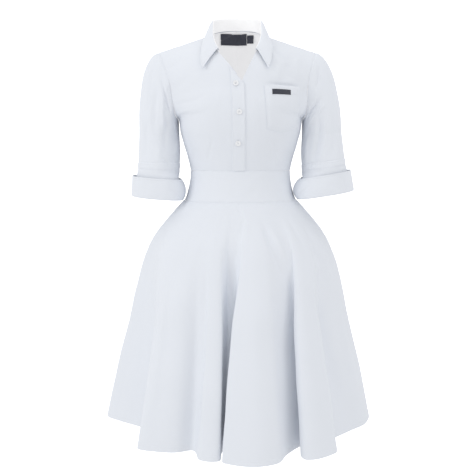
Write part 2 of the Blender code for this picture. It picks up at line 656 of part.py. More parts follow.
def hem_outline(count):
    """Places round the folded hem, the azimuths they hang from and the powers they open by.

    The outline's points are joined by the cubic of section, cut into equal lengths and rounded off by a
    bell-shaped mean along the hem. Count columns of cloth are laid out from each side seam to the other,
    closer together where the hem turns. Places are in shares of the plain bell's half width and depth.
    """
    azimuth, reach, hung, power = HEM_OUTLINE[0]
    table = np.array(HEM_OUTLINE + ((azimuth + 360.0, reach, hung + 360.0, power),))
    width, depth = SKIRT_TABLE[-1][1], SKIRT_TABLE[-1][2]
    fine = section(table, np.linspace(0.0, len(table) - 1.0, 2 * HEM_STEPS))
    angle = np.radians(fine[:, 0])
    x = np.sin(angle) * fine[:, 1] * width
    y = np.cos(angle) * fine[:, 1] * depth
    length = np.concatenate([[0.0], np.cumsum(np.hypot(np.diff(x), np.diff(y)))])
    even = np.linspace(0.0, length[-1], HEM_STEPS + 1)
    trend = 360.0 * even / length[-1]
    columns = (x, y, fine[:, 2], fine[:, 3])
    line = np.stack([np.interp(even, length, column) for column in columns], -1)
    line[:, 2] -= trend
    waves = np.fft.fftfreq(HEM_STEPS, length[-1] / HEM_STEPS)
    bell = np.exp(-0.5 * (2.0 * math.pi * waves * FOLD_ROUNDING) ** 2)
    once_round = np.fft.ifft(np.fft.fft(line[:-1], axis=0) * bell[:, None], axis=0).real
    line = np.concatenate([once_round, once_round, once_round[:1]])
    line[:, 2] += np.concatenate([trend[:-1], trend + 360.0])
    step = np.diff(line[:, :2], axis=0)
    heading = np.unwrap(np.arctan2(step[:, 1], step[:, 0]))
    turn = np.abs(np.gradient(heading))
    cost = np.hypot(step[:, 0], step[:, 1]) + TURN_LENGTH * turn
    cost = np.concatenate([[0.0], np.cumsum(cost)])
    right, left, round_again = np.interp((-90.0, 90.0, 270.0), line[:, 2], cost)
    wanted = np.concatenate([
        np.linspace(right, left, count + 1)[:-1],
        np.linspace(left, round_again, count + 1),
    ])
    places = [np.interp(wanted, cost, line[:, k]) for k in range(4)]
    return places[0] / width, places[1] / depth, np.radians(places[2]), places[3]


def skirt_grid(count, rows):
    """Skirt points: a bell of plain sections, drawn towards the folded outline, more so near the hem."""
    aside, ahead, hung, power = hem_outline(count)
    values = section(SKIRT_TABLE, np.broadcast_to(rows[:, None], (len(rows), 2 * count + 1)))
    opened = values[..., 4] ** power
    sideways = np.sin(hung) + (aside - np.sin(hung)) * opened
    forward = np.cos(hung) + (ahead - np.cos(hung)) * opened
    hem_drop = SKIRT_TABLE[-1][0]
    x = values[..., 1] * sideways + HEM_SHIFT * values[..., 0] / hem_drop
    y = -np.where(forward > 0.0, values[..., 2], values[..., 3]) * forward
    side_drop = WAIST_SIDE_DROP * np.sin(hung) ** 2 * (1.0 - values[..., 0] / hem_drop)
    z = WAIST_TABLE[-1][0] - SEAM_GAP - values[..., 0] - side_drop
    return np.stack([x, y, z], -1)


def skirt():
    """Front and back of the flared skirt, which meet at the side seams."""
    rows = np.concatenate([np.linspace(0.0, 7.0, 9), [8.0, 9.0, 10.0, 11.0]])
    grid = skirt_grid(SKIRT_COLUMNS, rows)
    halves(("skirt_front", "skirt_back"), grid, SKIRT_COLUMNS)


def bezier(start, first, second, end, count):
    """Rows of points along the cubic Bezier curves through four sets of points."""
    t = np.linspace(0.0, 1.0, count)[:, None, None]
    return (
        start * (1.0 - t) ** 3
        + first * 3.0 * t * (1.0 - t) ** 2
        + second * 3.0 * t * t * (1.0 - t)
        + end * t ** 3
    )


def collar():
    """One-piece collar: up from the neck seam, over the roll line, and down to the pointed edge."""
    stations = np.linspace(-1.0, 1.0, COLLAR_COLUMNS)
    values = section(COLLAR_TABLE, np.abs(stations) * (len(COLLAR_TABLE) - 1.0))
    side = np.where(stations < 0.0, -1.0, 1.0)[:, None]
    mirror = np.concatenate([side, np.ones_like(side), np.ones_like(side)], -1)
    seam = values[:, 0:3] * mirror
    roll = values[:, 3:6] * mirror
    edge = values[:, 6:9] * mirror
    tips = ease((np.abs(stations) - 0.6) / 0.4)
    shift = np.where(stations < 0.0, -COLLAR_TIP_SHIFT["right"], COLLAR_TIP_SHIFT["left"])
    edge[:, 0] += shift * tips
    outward = edge - roll
    outward[:, 2] = 0.0
    outward = unit(outward)
    stand = np.linalg.norm(roll - seam, axis=-1, keepdims=True)
    bend = np.minimum(COLLAR_ROLL, 0.45 * stand)
    lift = seam + (roll - seam) * 0.6
    stand_rows = bezier(seam, lift, roll - outward * bend, roll, STAND_ROWS)
    bulge = roll + (edge - roll) * 0.45 + outward * bend
    fall_rows = bezier(roll, roll + outward * bend, bulge, edge, FALL_ROWS)
    grid = np.concatenate([stand_rows, fall_rows[1:]])
    return cloth("collar", [(shift_neck(grid), grid_normals(grid))])


def placket():
    """Buttoned strip down the centre front, cut off along the neckline at its top."""
    x = np.array([PLACKET_LEFT, -0.011, CENTRE_RIGHT, 0.0035, PLACKET_RIGHT])[None, :]
    top = np.interp(x, [PLACKET_LEFT, PLACKET_RIGHT], [PLACKET_TOP_LEFT, PLACKET_TOP_RIGHT])
    down = np.linspace(0.0, 1.0, PLACKET_ROWS)[:, None]
    z = top + (PLACKET_BOTTOM - top) * down
    grid, outward = over_front(np.broadcast_to(x, z.shape), z, np.full(z.shape, 2.0 * SEAM_GAP + CLOTH))
    return cloth("placket", [(shift_neck(grid), outward)])


def buttons():
    """Flat turned buttons with a raised rim, each on the placket's face and square to it."""
    sides = BUTTON_SIDES
    for number, (x, z) in enumerate(BUTTON_PLACES, start=1):
        on_placket, facing = over_front(np.array([x]), z, np.array([3.0 * SEAM_GAP + CLOTH]))
        centre = shift_neck(on_placket)[0]
        outward = facing[0]
        across = unit(np.cross(outward, np.array([0.0, 0.0, 1.0])))
        upward = np.cross(across, outward)
        shape = bmesh.new()
        rings = []
        for radius, height in BUTTON_OUTLINE:
            if radius == 0.0:
                rings.append([shape.verts.new(tuple(centre + outward * height))] * sides)
                continue
            around = [2.0 * math.pi * k / sides for k in range(sides)]
            rings.append([
                shape.verts.new(tuple(
                    centre + outward * height
                    + (across * math.cos(a) + upward * math.sin(a)) * radius * BUTTON_RADIUS
                ))
                for a in around
            ])
        for low, high in zip(rings[:-1], rings[1:]):
            for k in range(sides):
                after = (k + 1) % sides
                corners = [low[k], low[after], high[after], high[k]]
                shape.faces.new(list(dict.fromkeys(corners)))
        bmesh.ops.recalc_face_normals(shape, faces=shape.faces)
        mesh = bpy.data.meshes.new("button_%d" % number)
        shape.to_mesh(mesh)
        shape.free()
        button = place("button_%d" % number, mesh, BUTTON_WHITE, 0.35)
        button.data.set_sharp_from_angle(angle=math.radians(40.0))


def pocket_gape(along, down):
    """How far the pocket's mouth stands off the front, by shares of the pocket's width and height."""
    return POCKET_GAPE * np.sin(math.pi * along) ** GAPE_EVENNESS * ease(1.0 - down / GAPE_DEPTH)


def chest_pocket():
    """Patch pocket with a shallow point, flat on the front below and standing off at its mouth."""
    s = np.linspace(0.0, 1.0, POCKET_COLUMNS)[None, :]
    t = np.linspace(0.0, 1.0, POCKET_ROWS)[:, None]
    inner = POCKET_INNER + POCKET_TAPER * t
    outer = POCKET_OUTER - POCKET_TAPER * t
    x = inner + (outer - inner) * s
    point = POCKET_POINT * (1.0 - np.abs(2.0 * s - 1.0)) * t
    z = POCKET_TOP + (POCKET_BOTTOM - POCKET_TOP) * t - point
    lift = CLOTH + 3.0 * SEAM_GAP + pocket_gape(s, t)
    grid, outward = over_front(x, z, lift)
    return cloth("chest_pocket", [(shift_neck(grid), outward)])


def pocket_tab():
    """Small woven tab lying on the pocket's face."""
    s = np.linspace(0.0, 1.0, TAB_COLUMNS)[None, :]
    t = np.linspace(0.0, 1.0, TAB_ROWS)[:, None]
    x = TAB_INNER + (TAB_OUTER - TAB_INNER) * s + 0.0 * t
    z = TAB_TOP - TAB_HEIGHT * t + 0.0 * s
    along = (x - POCKET_INNER) / (POCKET_OUTER - POCKET_INNER)
    down = (z - POCKET_TOP) / (POCKET_BOTTOM - POCKET_TOP)
    lift = CLOTH + LABEL_CLOTH + 5.0 * SEAM_GAP + pocket_gape(along, down)
    grid, outward = over_front(x, z, lift)
    return cloth("pocket_tab", [(shift_neck(grid), outward)], thickness=LABEL_CLOTH, colour=LABEL_DARK)


def neck_label(name, start, end, top, height):
    """Woven label inside the back neck, hanging just clear of the back panel's inner face."""
    x = np.linspace(start, end, LABEL_COLUMNS)[None, :] * np.ones((LABEL_ROWS, 1))
    z = (top - height * np.linspace(0.0, 1.0, LABEL_ROWS))[:, None] * np.ones((1, LABEL_COLUMNS))
    side = np.where(x < 0.0, -1.0, 1.0)
    row_guess = np.interp(z, [-0.03, 0.0], [BACK_NECK_ROW + 0.8, BACK_NECK_ROW - 0.2])
    across, row = find_on_bodice(x, z, side, np.abs(x) / 0.15, row_guess)
    outward = bodice_normals(across, row, side)
    grid = bodice(across, row, side) - outward * (CLOTH + LABEL_CLEARANCE)
    return cloth(name, [(shift_neck(grid), outward)], thickness=LABEL_CLOTH, colour=LABEL_DARK)


def clear_scene():
    """Removes whatever the scene starts with."""
    for found in list(bpy.data.objects):
        bpy.data.objects.remove(found, do_unlink=True)


def main():
    clear_scene()
    bodice_front("bodice_front_right", -1.0, CENTRE_RIGHT, -0.1085)
    bodice_front("bodice_front_left", 1.0, CENTRE_LEFT, -0.1400)
    bodice_back()
    collar()
    placket()
    buttons()
    chest_pocket()
    pocket_tab()
    for which in ("right", "left"):
        sleeve(which)
        cuff(which)
    waistband()
    skirt()
    neck_label("neck_label", LABEL_FROM, LABEL_TO, LABEL_TOP, LABEL_HEIGHT)
    neck_label("size_tab", LABEL_TO + LABEL_SPACING, SIZE_TAB_TO, SIZE_TAB_TOP, SIZE_TAB_HEIGHT)


main()
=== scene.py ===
"""Looks of the nurse uniform dress: fine cloth shells on the packed solids, their sewing, and the stage.

Metres, +Z up, the front faces -Y and the wearer's left is +X. Each cloth piece is a grid of points on
its outer face. The creases move the points along the cloth's own normals, and a thin wall is then
built inwards. Every grid carries its own lengths along the cloth as its UV map, in metres.
"""

import math

import bmesh
import bpy
import numpy as np
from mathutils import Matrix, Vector


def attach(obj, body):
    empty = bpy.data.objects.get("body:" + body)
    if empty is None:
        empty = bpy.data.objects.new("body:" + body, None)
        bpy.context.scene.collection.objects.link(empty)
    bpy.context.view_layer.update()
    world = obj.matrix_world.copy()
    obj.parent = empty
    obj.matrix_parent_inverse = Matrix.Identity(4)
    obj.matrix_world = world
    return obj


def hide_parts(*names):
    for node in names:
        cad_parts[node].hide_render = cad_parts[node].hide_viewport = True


bl_info = {
    "name": "Nurse Uniform Dress",
    "version": (1, 0, 0),
    "blender": (4, 5, 0),
    "location": "3D View > Sidebar > Dress",
    "description": "Cloth shells, sewing, buttons, labels and stage of a nurse uniform dress",
    "category": "Object",
}

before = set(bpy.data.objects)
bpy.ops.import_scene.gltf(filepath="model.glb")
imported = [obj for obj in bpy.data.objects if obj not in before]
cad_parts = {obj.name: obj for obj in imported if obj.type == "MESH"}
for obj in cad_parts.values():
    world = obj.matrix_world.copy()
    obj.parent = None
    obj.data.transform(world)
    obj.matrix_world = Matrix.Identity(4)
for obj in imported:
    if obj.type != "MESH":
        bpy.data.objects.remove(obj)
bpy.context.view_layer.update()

# Wall and seams
SEAM_GAP = 0.0001
SEAM_DIP = 0.0004
WAIST_SEAM_DIP = 0.00015
SEAM_DIP_WIDTH = 0.0016
PUCKER = 0.00028
PUCKER_REACH = 0.010
CAD_CLOTH = 0.0015

# The neck sits a little towards the wearer's right of the waist
NECK_SHIFT = -0.008
NECK_SHIFT_FROM = -0.20
NECK_SHIFT_OVER = 0.17

# Half bodice, from the front waist over the shoulder to the back waist.
# The inner edge is the centre line and then the neckline, the outer edge the side seam and the armhole.
# The turn is how far the cloth has turned to the back, in degrees, where it meets the outer edge.
# Columns: inner x, inner y, inner z, outer x, outer y, outer z, turn
BODICE_TABLE = (
    (0.000, -0.095, -0.3185, 0.1165, 0.000, -0.3215, 90),
    (0.000, -0.103, -0.2900, 0.1235, 0.000, -0.2920, 90),
    (0.000, -0.112, -0.2550, 0.1335, 0.000, -0.2570, 90),
    (0.000, -0.118, -0.2250, 0.1405, 0.000, -0.2290, 90),
    (0.000, -0.121, -0.1900, 0.1435, 0.000, -0.2065, 88),
    (0.000, -0.119, -0.1600, 0.1490, -0.030, -0.1950, 74),
    (0.000, -0.113, -0.1330, 0.1525, -0.046, -0.1640, 62),
    (0.022, -0.099, -0.0920, 0.1560, -0.047, -0.1260, 55),
    (0.041, -0.077, -0.0590, 0.1660, -0.034, -0.0900, 40),
    (0.0575, -0.040, -0.0320, 0.1750, -0.017, -0.0660, 22),
    (0.062, 0.000, -0.0140, 0.1810, 0.000, -0.0520, 0),
    (0.0555, 0.024, -0.0070, 0.1765, 0.014, -0.0600, 14),
    (0.034, 0.049, 0.0015, 0.1710, 0.027, -0.0740, 26),
    (0.000, 0.060, 0.0045, 0.1650, 0.040, -0.0940, 40),
    (0.000, 0.077, -0.0280, 0.1570, 0.050, -0.1260, 54),
    (0.000, 0.090, -0.0700, 0.1530, 0.048, -0.1620, 64),
    (0.000, 0.099, -0.1150, 0.1490, 0.031, -0.1940, 76),
    (0.000, 0.103, -0.1700, 0.1435, 0.000, -0.2065, 88),
    (0.000, 0.100, -0.2150, 0.1405, 0.000, -0.2290, 90),
    (0.000, 0.095, -0.2500, 0.1335, 0.000, -0.2570, 90),
    (0.000, 0.090, -0.2880, 0.1235, 0.000, -0.2920, 90),
    (0.000, 0.088, -0.3185, 0.1165, 0.000, -0.3215, 90),
)
UNDERARM_FRONT_ROW = 4
FRONT_NECK_ROW = 8
SHOULDER_ROW = 10
BACK_NECK_ROW = 13
UNDERARM_BACK_ROW = 17
LAST_ROW = 21
GUESS_HEIGHTS = (-0.3185, -0.255, -0.19, -0.133, -0.06)
GUESS_ROWS = (0.0, 2.0, 4.0, 6.0, 8.0)
BUST_FULLNESS = 0.007
BUST_X = 0.072
BUST_Z = -0.190
BUST_WIDTH = 0.055
BUST_HEIGHT = 0.060

# Front edges, placket and buttons
CENTRE_RIGHT = -0.0040
CENTRE_LEFT = -0.0034
SLOPE_MEETS_RIGHT = -0.1085
SLOPE_MEETS_LEFT = -0.1400
PLACKET_LEFT = -0.0180
PLACKET_RIGHT = 0.0105
PLACKET_TOP_LEFT = -0.0925
PLACKET_TOP_RIGHT = -0.1300
PLACKET_BOTTOM = -0.3180
PLACKET_LIFT = 0.0023
BUTTON_PLACES = ((-0.0075, -0.1300), (-0.0030, -0.1900), (-0.0055, -0.2570))
BUTTON_LIFT = 0.0027
BUTTONHOLE_HALF = 0.0076
BUTTONHOLE_SIDE = 0.0009
BUTTONHOLE_BAR = 0.0006

# Profile of a button from the middle of its back round the rim to its face
# Columns: share of the radius, height
BUTTON_RIM = (
    (0.00, 0.0),
    (0.80, 0.0),
    (0.94, 0.0002),
    (1.00, 0.0007),
    (1.02, 0.0012),
    (1.00, 0.0018),
    (0.95, 0.00215),
    (0.88, 0.00225),
    (0.80, 0.0021),
    (0.74, 0.0017),
)

# Breast pocket and its tab
POCKET_INNER = 0.0530
POCKET_OUTER = 0.1340
POCKET_TOP = -0.1330
POCKET_BOTTOM = -0.2260
POCKET_POINT = 0.0090
POCKET_TAPER = 0.0040
POCKET_GAPE = 0.0032
GAPE_DEPTH = 0.60
GAPE_EVENNESS = 0.8
POCKET_LIFT = 0.0027
TAB_INNER = 0.0688
TAB_OUTER = 0.1086
TAB_TOP = -0.1422
TAB_HEIGHT = 0.0110
TAB_LIFT = 0.0036

# Sleeve rings below the armhole, by the points nearest to and farthest from the body
# Columns: near x, near z, far x, far z, middle y, half depth
SLEEVE_TABLES = {
    "right": (
        (0.1430, -0.2400, 0.2365, -0.2400, -0.002, 0.053),
        (0.1418, -0.2800, 0.2385, -0.2800, -0.005, 0.055),
        (0.1430, -0.3170, 0.2400, -0.3150, -0.008, 0.057),
    ),
    "left": (
        (0.1440, -0.2410, 0.2360, -0.2330, -0.002, 0.053),
        (0.1428, -0.2820, 0.2415, -0.2720, -0.005, 0.055),
        (0.1450, -0.3200, 0.2460, -0.3050, -0.008, 0.057),
    ),
}
ARMHOLE_GAP = 0.0002
HEAD_TURN = 15.0
UNDERARM_TURN = 90.0
HEAD_FULLNESS = 0.80

# Turned-back cuffs: the ring at the fold, and the ring at the free top edge outside
# Columns: near x, near z, far x, far z, middle y, half depth
CUFF_TABLES = {
    "right": (
        (0.1350, -0.3900, 0.2575, -0.3810, -0.010, 0.065),
        (0.1400, -0.3410, 0.2545, -0.3335, -0.010, 0.063),
    ),
    "left": (
        (0.1335, -0.3880, 0.2680, -0.3680, -0.010, 0.066),
        (0.1425, -0.3390, 0.2595, -0.3200, -0.010, 0.063),
    ),
}
CUFF_BOXINESS = 2.5
CUFF_FOLD_RADIUS = 0.0024
CUFF_TURN = 9.0
CUFF_SWELL = {"right": 0.0075, "left": 0.0125}
CUFF_SWELL_SPREAD = 42.0
CUFF_SWELL_FULLNESS = 0.7

# Inner layer of a cuff, from the sleeve seam down to the fold
# Columns: share of the way down, boxiness, turn in degrees, drawn away from the body
CUFF_INNER_TABLE = (
    (0.00, 2.00, 0.0, 0.0000),
    (0.10, 2.02, 0.0, 0.0001),
    (0.30, 2.45, 8.0, 0.0034),
    (0.65, 2.50, 9.0, 0.0022),
    (1.00, 2.50, 9.0, 0.0000),
)

# Waistband sections
# Columns: height, half width, reach to the front, reach to the back
WAIST_TABLE = (
    (-0.3192, 0.1165, 0.0950, 0.0880),
    (-0.3360, 0.1180, 0.0965, 0.0900),
    (-0.3590, 0.1220, 0.1005, 0.0945),
    (-0.3770, 0.1270, 0.1050, 0.0990),
    (-0.3880, 0.1320, 0.1090, 0.1030),
)
WAIST_SIDE_DROP = 0.003
WAIST_REACH = 0.0006

# Skirt sections below the waistband, with how far the folds have opened
# Columns: drop, half width, reach to the front, reach to the back, share that the folds have opened
SKIRT_TABLE = (
    (0.000, 0.1325, 0.1095, 0.1035, 0.00),
    (0.010, 0.1430, 0.1170, 0.1110, 0.00),
    (0.030, 0.1605, 0.1280, 0.1240, 0.01),
    (0.057, 0.1840, 0.1420, 0.1410, 0.03),
    (0.087, 0.2050, 0.1570, 0.1590, 0.08),
    (0.120, 0.2210, 0.1700, 0.1740, 0.17),
    (0.160, 0.2360, 0.1840, 0.1900, 0.31),
    (0.210, 0.2490, 0.2000, 0.2060, 0.49),
    (0.270, 0.2620, 0.2170, 0.2200, 0.66),
    (0.340, 0.2800, 0.2350, 0.2370, 0.80),
    (0.430, 0.3025, 0.2570, 0.2570, 0.92),
    (0.539, 0.3250, 0.2790, 0.2750, 1.00),
)
HEM_SHIFT = -0.005

# Outline of the folds at the hem, right round. Azimuths are in degrees from the front towards the
# wearer's left, and the reach is a share of the plain bell's radius there. Where the hem's azimuth runs
# back, one fold overlaps the next. A power under 1 opens the fold nearer to the waistband.
# Columns: azimuth at the hem, reach, azimuth under the waistband that it hangs from, power
HEM_OUTLINE = (
    (-96.0, 1.000, -96.0, 1.00),
    (-88.0, 1.000, -88.0, 1.00),
    (-80.0, 0.900, -81.0, 1.00),
    (-71.0, 0.790, -75.0, 1.00),
    (-62.0, 0.730, -68.0, 1.00),
    (-54.0, 0.800, -61.0, 1.00),
    (-48.5, 0.910, -55.0, 1.00),
    (-44.5, 0.975, -49.0, 1.00),
    (-37.5, 0.930, -42.0, 1.00),
    (-29.0, 0.865, -33.0, 1.00),
    (-23.5, 0.780, -26.0, 1.00),
    (-19.8, 0.830, -21.5, 1.00),
    (-16.5, 0.915, -17.5, 1.00),
    (-12.0, 0.930, -15.5, 0.80),
    (-7.4, 0.895, -13.2, 0.66),
    (-8.4, 0.780, -10.0, 0.62),
    (-8.2, 0.650, -7.0, 0.60),
    (-4.6, 0.650, -3.0, 0.60),
    (-4.2, 0.780, 1.0, 0.62),
    (-6.9, 0.915, 4.0, 0.66),
    (-3.0, 0.955, 5.5, 0.80),
    (7.0, 0.998, 9.0, 1.00),
    (15.0, 0.975, 14.0, 1.00),
    (22.0, 0.860, 19.0, 0.95),
    (30.0, 0.790, 24.5, 0.85),
    (37.5, 0.760, 29.0, 0.75),
    (34.0, 0.830, 32.5, 0.75),
    (27.0, 0.905, 34.5, 0.75),
    (26.5, 0.975, 36.0, 0.80),
    (32.0, 1.012, 39.0, 0.95),
    (40.5, 1.005, 43.0, 1.00),
    (46.0, 0.920, 48.5, 1.00),
    (50.5, 0.830, 53.0, 1.00),
    (58.0, 0.850, 60.0, 1.00),
    (67.0, 0.890, 68.0, 1.00),
    (78.0, 0.970, 78.0, 1.00),
    (89.0, 1.000, 89.0, 1.00),
    (99.0, 0.960, 99.0, 1.00),
    (107.0, 0.850, 107.0, 1.00),
    (113.0, 0.810, 113.0, 1.00),
    (119.0, 0.900, 119.0, 1.00),
    (127.0, 0.990, 127.0, 1.00),
    (134.0, 0.940, 134.0, 1.00),
    (139.0, 0.800, 139.0, 1.00),
    (143.0, 0.740, 143.0, 1.00),
    (147.0, 0.800, 147.0, 1.00),
    (152.0, 0.950, 152.0, 1.00),
    (159.0, 1.000, 159.0, 1.00),
    (166.0, 0.920, 166.0, 1.00),
    (170.5, 0.760, 170.5, 1.00),
    (174.0, 0.700, 174.0, 1.00),
    (178.0, 0.780, 178.0, 1.00),
    (183.0, 0.940, 183.0, 1.00),
    (190.0, 1.000, 190.0, 1.00),
    (198.0, 0.960, 198.0, 1.00),
    (205.0, 0.810, 205.0, 1.00),
    (209.0, 0.750, 209.0, 1.00),
    (213.0, 0.810, 213.0, 1.00),
    (219.0, 0.960, 219.0, 1.00),
    (226.0, 1.000, 226.0, 1.00),
    (233.0, 0.950, 233.0, 1.00),
    (241.0, 0.830, 241.0, 1.00),
    (247.0, 0.790, 247.0, 1.00),
    (253.0, 0.850, 253.0, 1.00),
    (259.0, 0.950, 259.0, 1.00),
)
HEM_LINES = (
    0.030, 0.024, 0.018, 0.0145, 0.0125, 0.0115, 0.0110, 0.0105, 0.0095,
    0.0080, 0.0060, 0.0040, 0.0025, 0.0012, 0.0005, 0.0,
)
FOLD_ROUNDING = 0.0045
TURN_LENGTH = 0.010
HEM_STEPS = 4000

# Collar stations from the centre back to the front end, on the wearer's left
# Columns: neck seam x, y, z, roll line x, y, z, free edge x, y, z
COLLAR_TABLE = (
    (0.0000, 0.0584, 0.0056, 0.0000, 0.0630, 0.0350, 0.0000, 0.0800, -0.0020),
    (0.0330, 0.0474, 0.0028, 0.0300, 0.0530, 0.0325, 0.0450, 0.0630, -0.0052),
    (0.0536, 0.0231, -0.0056, 0.0480, 0.0270, 0.0265, 0.0630, 0.0310, -0.0078),
    (0.0601, 0.0000, -0.0126, 0.0550, 0.0000, 0.0185, 0.0685, -0.0020, -0.0092),
    (0.0557, -0.0395, -0.0303, 0.0545, -0.0420, -0.0130, 0.0795, -0.0600, -0.0470),
    (0.0496, -0.0595, -0.0434, 0.0500, -0.0640, -0.0345, 0.0780, -0.0870, -0.0750),
    (0.0400, -0.0765, -0.0558, 0.0420, -0.0800, -0.0515, 0.0720, -0.1000, -0.0965),
)
COLLAR_ROLL = 0.0045
STAND_LINES = 14
STAND_SEAT = 0.0005
COLLAR_TIP_SHIFT = {"right": 0.0060, "left": -0.0060}

# Woven labels inside the back neck
LABEL_FROM = -0.0395
LABEL_TO = 0.0235
LABEL_TOP = -0.0010
LABEL_HEIGHT = 0.0245
LABEL_LIFT = 0.0030
LABEL_SPACING = 0.0012
SIZE_TAB_TO = 0.0400
SIZE_TAB_TOP = -0.0045
SIZE_TAB_HEIGHT = 0.0170

# Creases, as strokes on a piece. Along the front and the back they run in x and height, round a sleeve
# in degrees and share of its length, and on the skirt in degrees from the front and drop in metres.
# A ridge has a positive height and a trough a negative one, in millimetres.
# Columns: start a, start b, end a, end b, bow, half width, height in mm
FRONT_RIGHT_CREASES = (
    (-0.150, -0.170, -0.070, -0.150, 0.006, 0.0055, -1.3),
    (-0.148, -0.186, -0.066, -0.178, 0.005, 0.0050, 0.9),
    (-0.150, -0.140, -0.100, -0.095, 0.004, 0.0070, -0.9),
    (-0.162, -0.098, -0.105, -0.066, -0.003, 0.0065, -0.8),
    (-0.060, -0.240, -0.075, -0.318, 0.002, 0.0045, -1.1),
    (-0.085, -0.262, -0.062, -0.317, 0.002, 0.0060, 0.7),
    (-0.120, -0.232, -0.090, -0.312, 0.005, 0.0070, -0.8),
    (-0.030, -0.140, -0.046, -0.230, 0.004, 0.0080, -0.7),
    (-0.040, -0.215, -0.026, -0.312, -0.003, 0.0070, -0.6),
)
FRONT_LEFT_CREASES = (
    (0.160, -0.112, 0.118, -0.190, -0.007, 0.0060, -1.6),
    (0.150, -0.165, 0.116, -0.232, -0.006, 0.0055, 1.0),
    (0.152, -0.186, 0.100, -0.236, -0.004, 0.0050, -1.1),
    (0.078, -0.042, 0.114, -0.088, 0.003, 0.0060, -2.0),
    (0.108, -0.078, 0.112, -0.124, 0.002, 0.0110, -3.0),
    (0.134, -0.060, 0.136, -0.122, 0.003, 0.0090, 2.2),
    (0.088, -0.084, 0.084, -0.122, -0.002, 0.0080, 1.4),
    (0.054, -0.1270, 0.142, -0.1330, 0.001, 0.0034, -2.8),
    (0.070, -0.240, 0.078, -0.318, -0.002, 0.0045, -1.1),
    (0.098, -0.250, 0.092, -0.316, -0.003, 0.0060, 0.7),
    (0.120, -0.245, 0.106, -0.312, -0.004, 0.0065, -0.8),
    (0.036, -0.140, 0.048, -0.240, -0.004, 0.0080, -0.7),
    (0.026, -0.225, 0.022, -0.312, 0.003, 0.0070, -0.6),
)
BACK_CREASES = (
    (-0.142, -0.190, -0.060, -0.150, 0.006, 0.0070, -1.2),
    (0.144, -0.185, 0.066, -0.158, -0.006, 0.0070, -1.1),
    (-0.130, -0.230, -0.062, -0.205, 0.005, 0.0060, 0.9),
    (0.132, -0.236, 0.070, -0.214, -0.005, 0.0060, 0.8),
    (-0.072, -0.200, -0.066, -0.317, 0.002, 0.0050, -1.1),
    (0.070, -0.205, 0.064, -0.317, -0.002, 0.0050, -1.1),
    (-0.110, -0.262, -0.086, -0.316, 0.003, 0.0065, -0.8),
    (0.112, -0.258, 0.090, -0.316, -0.003, 0.0065, -0.7),
    (-0.012, -0.030, 0.006, -0.160, 0.004, 0.0100, -0.7),
    (-0.120, -0.070, -0.088, -0.150, 0.004, 0.0090, -0.8),
    (0.118, -0.074, 0.094, -0.156, -0.004, 0.0090, -0.7),
    (0.020, -0.240, 0.012, -0.317, 0.002, 0.0080, -0.7),
)
# Columns: start degrees, start share, end degrees, end share, bow, half width in degrees, height in mm
SLEEVE_CREASES = {
    "right": (
        (56.0, 0.050, 132.0, 0.175, -3.0, 6.0, -3.4),
        (68.0, 0.140, 84.0, 0.660, 2.0, 8.0, -3.2),
        (24.0, 0.060, 58.0, 0.480, 3.0, 8.0, 2.6),
        (86.0, 0.120, 110.0, 0.540, 2.0, 6.0, 2.4),
        (120.0, 0.240, 112.0, 0.800, -2.0, 7.0, -2.2),
        (158.0, 0.420, 140.0, 0.800, 2.0, 8.0, 1.8),
        (60.0, 0.500, 62.0, 0.980, -3.0, 8.0, -2.0),
        (40.0, 0.400, 44.0, 0.980, 2.0, 8.0, 1.6),
        (106.0, 0.840, 128.0, 0.960, 0.0, 4.0, -1.8),
        (126.0, 0.820, 148.0, 0.930, 0.0, 4.0, -1.5),
        (96.0, 0.700, 92.0, 0.970, 2.0, 7.0, 1.6),
        (-40.0, 0.26, -48.0, 0.96, 3.0, 9.0, -2.2),
        (-78.0, 0.30, -70.0, 0.97, 3.0, 9.0, 2.0),
        (-110.0, 0.20, -104.0, 0.98, -2.0, 8.0, -2.4),
        (-142.0, 0.36, -138.0, 0.96, 2.0, 8.0, 1.8),
    ),
    "left": (
        (70.0, 0.290, 152.0, 0.050, -2.0, 5.5, -4.6),
        (64.0, 0.370, 146.0, 0.200, -2.0, 6.0, 2.6),
        (34.0, 0.050, 86.0, 0.150, 0.0, 5.0, -2.6),
        (98.0, 0.300, 128.0, 0.980, -3.0, 7.0, -3.4),
        (140.0, 0.340, 152.0, 0.960, -2.0, 7.0, 2.4),
        (82.0, 0.380, 104.0, 0.980, -3.0, 7.0, 2.0),
        (54.0, 0.400, 66.0, 0.980, 2.0, 8.0, -1.8),
        (34.0, 0.240, 40.0, 0.980, 2.0, 8.0, 1.6),
        (118.0, 0.860, 121.0, 0.985, 0.0, 3.0, -1.6),
        (107.0, 0.870, 110.0, 0.985, 0.0, 3.0, -1.4),
        (130.0, 0.870, 134.0, 0.985, 0.0, 3.0, -1.3),
        (-44.0, 0.28, -40.0, 0.97, 3.0, 9.0, -2.0),
        (-80.0, 0.32, -84.0, 0.96, 3.0, 9.0, 2.0),
        (-116.0, 0.22, -108.0, 0.98, -2.0, 8.0, -2.2),
        (-148.0, 0.40, -140.0, 0.95, 2.0, 8.0, 1.8),
    ),
}
